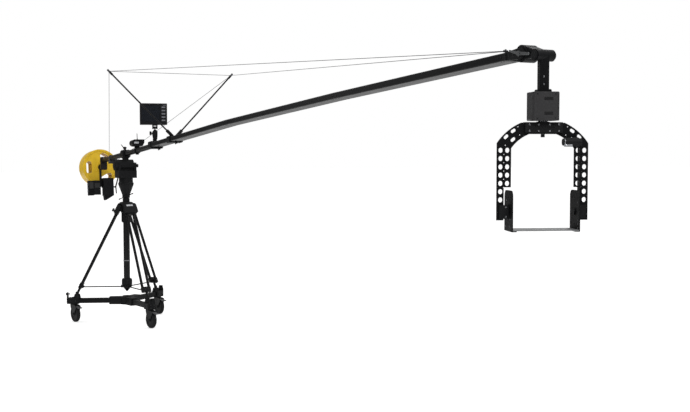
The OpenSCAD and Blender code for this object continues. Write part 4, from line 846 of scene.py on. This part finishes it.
# %% Cooling ribs on the back, and a bright strip over the keys
RIB_STEP = 0.0115
ribs = row("monitor_ribs", slab(facing(SCREEN, (-CASE_FACE, -0.011, 0.062), BEHIND),
                                outline(0.150, 0.0045, 0.0021, 3), 0.0022, 0.0006),
           9, SCREEN.to_3x3() @ Vector((0, 0, RIB_STEP)), "monitor", "black_plastic")
piece("monitor_strip", slab(facing(SCREEN, (CASE_FACE, 0.0785, 0.186), AHEAD),
                            outline(0.026, 0.005, 0.0015, 3), 0.0006, 0.0002),
      "monitor", "key_grey")
print("monitor ribs:", len(ribs.data.polygons), "faces")

# %% [markdown]
# ## Bare plates
# The front leg's cover carries a small pale tag between two rivets, and the receiver has one on
# its end. Each is a thin rounded slab, so it catches the light along its lip. Both stay bare.

# %% Bare plates and their rivets
tag_pale = finish_of("bare_tag", (0.50, 0.51, 0.53), 0.38, specular=0.4, size=700.0, depth=0.004,
                     dusty=0.1, worn=0.1)
TAG_UP, RECEIVER_AT = 0.0225, (0.362, 0, 0.0368)
piece("leg_tag", slab(facing(LEGS[0], (0.02535, 0, TAG_UP), AHEAD),
                      outline(0.060, 0.015, 0.002), 0.0008, 0.0002), "base", "bare_metal", tag_pale)
receiver_end = BOOM @ Matrix.Translation(RECEIVER_AT)
piece("receiver_tag", slab(facing(receiver_end, (0.0001, -0.016, 0.028), AHEAD),
                           outline(0.040, 0.016, 0.002), 0.0008, 0.0002),
      "boom", "bare_metal", tag_pale)
screws("tag_rivets", "base", [mark(LEGS[0], (0.0261, y, TAG_UP), AHEAD, 0.0016)
                              for y in (-0.0265, 0.0265)], bright=True, tall=0.3)

# %% [markdown]
# ## Vents and sockets
# Two rows of small dark slots let the motor box breathe. Each slot is a thin inlay rather than a
# cut, because the box beneath is a closed solid; its near-black colour is painted shade, standing
# in for the shade inside a real slot.

# %% Vents on the motor box
# Near-black finish: painted shade for the inside of slots and holes, and the black of the sockets' inserts.
dark = finish_of("painted_shade_and_black_insert", (0.003, 0.003, 0.0033), 0.7, specular=0.15, size=900.0,
                 dusty=0.05, worn=0.0)
VENT_STEP = (0, 0, -0.0048)
for name, up in (("upper_vents", 1.7745), ("lower_vents", 1.7105)):
    row(name, slab(facing(HEAD, (0.05405, 0.010, up), AHEAD),
                   outline(0.040, 0.0030, 0.0014, 3), 0.0004, 0.0001),
        3, VENT_STEP, "nose", "black_plastic", dark)
print("two rows of vents")

# %% [markdown]
# Each socket is a bright ring round a dark centre, and both are repeated downward. The dark of
# the centre is partly the socket's black insert and partly painted shade of its recess. Two thin
# covers close the front of the box.

# %% Sockets and covers on the power box
SOCKET_RING = [(0.0112, 0.0), (0.0112, 0.0042), (0.0098, 0.0052), (0.0078, 0.0052),
               (0.0072, 0.0012), (0.0072, 0.0)]
SOCKET_CENTRE = [(0.0071, 0.0001), (0.0071, 0.0010), (0.0010, 0.0012), (0.0010, 0.0001)]
first_socket = facing(BOOM, (POWER_AT, POWER_FACE, POWER_UP - 0.034), TO_NEAR)
socket_step = BOOM.to_3x3() @ Vector((0, 0, -0.0315))
row("power_sockets", lathe(first_socket, SOCKET_RING, 28), 3, socket_step, "boom", "bright_steel")
# The dark centres are partly black insert and partly painted shade of the socket's recess.
row("socket_centres", lathe(first_socket, SOCKET_CENTRE, 20), 3, socket_step,
    "boom", "black_plastic", dark)
for name, at, size in (("power_panel", (-0.67795, -0.060, -0.232), (0.052, 0.044)),
                       ("power_cover", (-0.66895, -0.120, -0.232), (0.038, 0.060))):
    piece(name, slab(facing(BOOM, at, AHEAD), outline(*size, 0.003), 0.0012, 0.0003),
          "boom", "motor_case")
print("three sockets and two covers")

# %% [markdown]
# ## Turned rings and caps
# A plastic cap closes the end of the weight bar, a bright seal sits where the pan shaft leaves
# the motor box, the tilt motor has a bright ring and a short plug at its side, and a guide cup
# on the spreader's hub waits for the foot of the column. Each is a small profile that is spun
# round its axis. The cup's bore is wider than the column, so the column slides free of it.

# %% Cap, seal, motor plug and guide cup
piece("bar_cap", lathe(facing(BOOM, (-0.9601, 0, -0.056), BEHIND),
                       [(0.0122, 0.0), (0.0118, 0.0016), (0.0100, 0.0024)], hollow=False),
      "boom", "black_plastic")
SEAL = [(0.0145, 0.0), (0.0215, 0.0), (0.0212, 0.0022), (0.0190, 0.0030), (0.0145, 0.0030)]
piece("shaft_seal", lathe(facing(HEAD, (0, 0, 1.6737), DOWN), SEAL, 40), "nose", "bright_steel")
PLUG = [(0.0042, 0.0), (0.0042, 0.0160), (0.0034, 0.0170), (0.0034, 0.0230), (0.0047, 0.0240),
        (0.0047, 0.0310), (0.0040, 0.0320)]
MOTOR_RING = [(0.0150, 0.0), (0.0172, 0.0), (0.0172, 0.0030), (0.0165, 0.0036), (0.0150, 0.0036)]
plug = lathe(facing(HEAD, (0.0410, 0.1210, 1.5678), TO_NEAR), PLUG, 24, hollow=False)
lathe(facing(HEAD, (0.027, 0.0905, 1.581), TO_NEAR), MOTOR_RING, 40, bm=plug)
piece("motor_plug", plug, "yoke", "bright_steel")
GUIDE = [(0.0300, 0.3243), (0.0430, 0.3243), (0.0465, 0.3290), (0.0465, 0.3680),
         (0.0430, 0.3790), (0.0360, 0.3830), (0.0300, 0.3830)]
piece("column_guide", lathe(COLUMN, GUIDE, 48), "base", "cast_black")
print("four turned pieces")

# %% [markdown]
# ## The drag pad
# A friction head carries its tilt drum in a curved pad. The pad's top is the arc of the drum
# with a little air over it, so its outline is two straight corners and a row of points on that
# arc, drawn out along the axle.

# %% Pad under the tilt drum
PAD_HALF, PAD_FOOT, PAD_ARC, PAD_LONG = 0.033, 1.3494, 0.0477, 0.061
arc = [PAD_HALF - 0.0055 * i for i in range(13)]
corners = [(-PAD_HALF, PAD_FOOT), (PAD_HALF, PAD_FOOT)]
corners += [(x, TILT_AXIS - math.sqrt(PAD_ARC ** 2 - x * x)) for x in arc]
bm = bmesh.new()
ends = [[bm.verts.new(COLUMN @ Vector((x, y, z))) for x, z in corners]
        for y in (-PAD_LONG, PAD_LONG)]
piece("drag_pad", skin(bm, ends), "turntable", "wheel_rubber")
print("drag pad with", len(corners), "corners")

# %% [markdown]
# ## Floor, light and camera
# The photograph is a product picture: white paper that runs into a white background, with large
# soft lights. The floor is a pale matt plane that keeps a faint shadow. Behind the paper a real
# studio is dark at eye level, and that is what the upright black faces mirror, while the boom's
# underside mirrors the white paper. So the world is white only to the camera. To every other
# ray it is bright overhead and dark at the horizon, and the paper ends some way off.

# %% Floor
PAPER, PAPER_TO, DARK_FROM = (0.8, 0.8, 0.8, 1), 9.0, 13.0
floor_paint = bpy.data.materials.new("studio_floor")
floor_paint.use_nodes = True
tree = floor_paint.node_tree
shader = tree.nodes["Principled BSDF"]
shader.inputs["Roughness"].default_value = 0.9
shader.inputs["Specular IOR Level"].default_value = 0.0
shader.inputs["Emission Color"].default_value = (1, 1, 1, 1)
path = add(tree, "ShaderNodeLightPath").outputs["Is Camera Ray"]
spot = add(tree, "ShaderNodeNewGeometry").outputs["Position"]
away = add(tree, "ShaderNodeVectorMath", {0: spot}, operation="LENGTH").outputs["Value"]
paper = add(tree, "ShaderNodeMapRange", {"Value": away, "From Min": PAPER_TO,
                                         "From Max": DARK_FROM, "To Min": 1.0, "To Max": 0.06})
shown = maths(tree, "MAXIMUM", paper.outputs[0], path)
tree.links.new(mix_colour(tree, shown, (0, 0, 0, 1), PAPER), shader.inputs["Base Color"])
glow = maths(tree, "ADD", maths(tree, "MULTIPLY", path, 0.33), maths(tree, "MULTIPLY", shown, 0.18))
tree.links.new(glow, shader.inputs["Emission Strength"])
print("floor paint ready")

# %% Lay the floor
FLOOR_HALF, FLOOR_UP = 60.0, -0.0005
bm = bmesh.new()
bm.faces.new([bm.verts.new((x * FLOOR_HALF, y * FLOOR_HALF, FLOOR_UP))
              for x, y in ((-1, -1), (1, -1), (1, 1), (-1, 1))])
mesh = bpy.data.meshes.new("studio_floor")
bm.to_mesh(mesh)
bm.free()
mesh.materials.append(floor_paint)
floor = bpy.data.objects.new("studio_floor", mesh)
bpy.context.scene.collection.objects.link(floor)
print("floor laid")

# %% [markdown]
# The world's brightness follows the height of a ray: dark near the horizon, bright overhead and
# below. Only a ray from the camera sees plain white.

# %% World
world = bpy.data.worlds.new("white_studio")
bpy.context.scene.world = world
world.use_nodes = True
tree = world.node_tree
tree.nodes.clear()
seen = add(tree, "ShaderNodeLightPath").outputs["Is Camera Ray"]
way = split(tree, add(tree, "ShaderNodeTexCoord").outputs["Generated"])[2]
sky = add(tree, "ShaderNodeMapRange", {"Value": maths(tree, "ABSOLUTE", way), "From Min": 0.05,
                                       "From Max": 0.8, "To Min": 0.12, "To Max": 0.95})
lit = add(tree, "ShaderNodeBackground", {"Color": (1, 1, 1, 1), "Strength": sky.outputs[0]})
white = add(tree, "ShaderNodeBackground", {"Color": (1, 1, 1, 1), "Strength": 1.0})
mixed = add(tree, "ShaderNodeMixShader", {0: seen, 1: lit.outputs[0], 2: white.outputs[0]})
out = add(tree, "ShaderNodeOutputWorld")
tree.links.new(mixed.outputs[0], out.inputs["Surface"])
print("world ready")

# %% [markdown]
# Three wide lamps stand for the studio's soft boxes. The key stands beside the camera, on the
# side that the motor box turns its front to. The fill is weak, and the third lamp draws a line
# of light along the far edges of the boom.

# %% Lamps
def lamp(name, at, aim, size, power):
    data = bpy.data.lights.new(name, "AREA")
    data.shape = "RECTANGLE"
    data.size, data.size_y = size
    data.energy = power
    obj = bpy.data.objects.new(name, data)
    turn = (Vector(aim) - Vector(at)).to_track_quat("-Z", "Y").to_matrix().to_4x4()
    obj.matrix_world = Matrix.Translation(at) @ turn
    bpy.context.scene.collection.objects.link(obj)


lamp("key", (7.5, -2.0, 5.5), (0.5, 0, 0.9), (3.0, 3.0), 230)
lamp("fill", (-5.5, -3.0, 3.5), (-1.5, 0, 0.9), (2.5, 2.5), 25)
lamp("rim", (0.0, 5.5, 5.0), (0.5, 0, 1.2), (4.0, 2.0), 90)
print("three soft lamps")

# %% [markdown]
# The camera stands where the photographer stood. Its heading, pitch and focal length, in pixels
# of the 690 wide picture, come from the crane's known points, such as the wheels and the nose.

# %% Camera
HEADING, PITCH, FOCAL, FRAME_WIDTH, SENSOR = 2.626, 0.0538, 1100.0, 690.0, 36.0
STANDS_AT = (9.507, -3.1397, 1.5605)
forward = Vector((math.cos(HEADING) * math.cos(PITCH), math.sin(HEADING) * math.cos(PITCH),
                  -math.sin(PITCH)))
right = Vector((math.sin(HEADING), -math.cos(HEADING), 0))
axes = Matrix((right, right.cross(forward), -forward)).transposed().to_4x4()
camera_data = bpy.data.cameras.new("camera")
camera_data.sensor_width = SENSOR
camera_data.lens = FOCAL * SENSOR / FRAME_WIDTH
camera_data.clip_end = 200.0
camera = bpy.data.objects.new("camera", camera_data)
camera.matrix_world = Matrix.Translation((column_x, 0, 0)) @ Matrix.Translation(STANDS_AT) @ axes
bpy.context.scene.collection.objects.link(camera)
bpy.context.scene.camera = camera
bpy.context.scene.view_settings.view_transform = "Standard"
print("camera lens", round(camera_data.lens, 1), "mm")
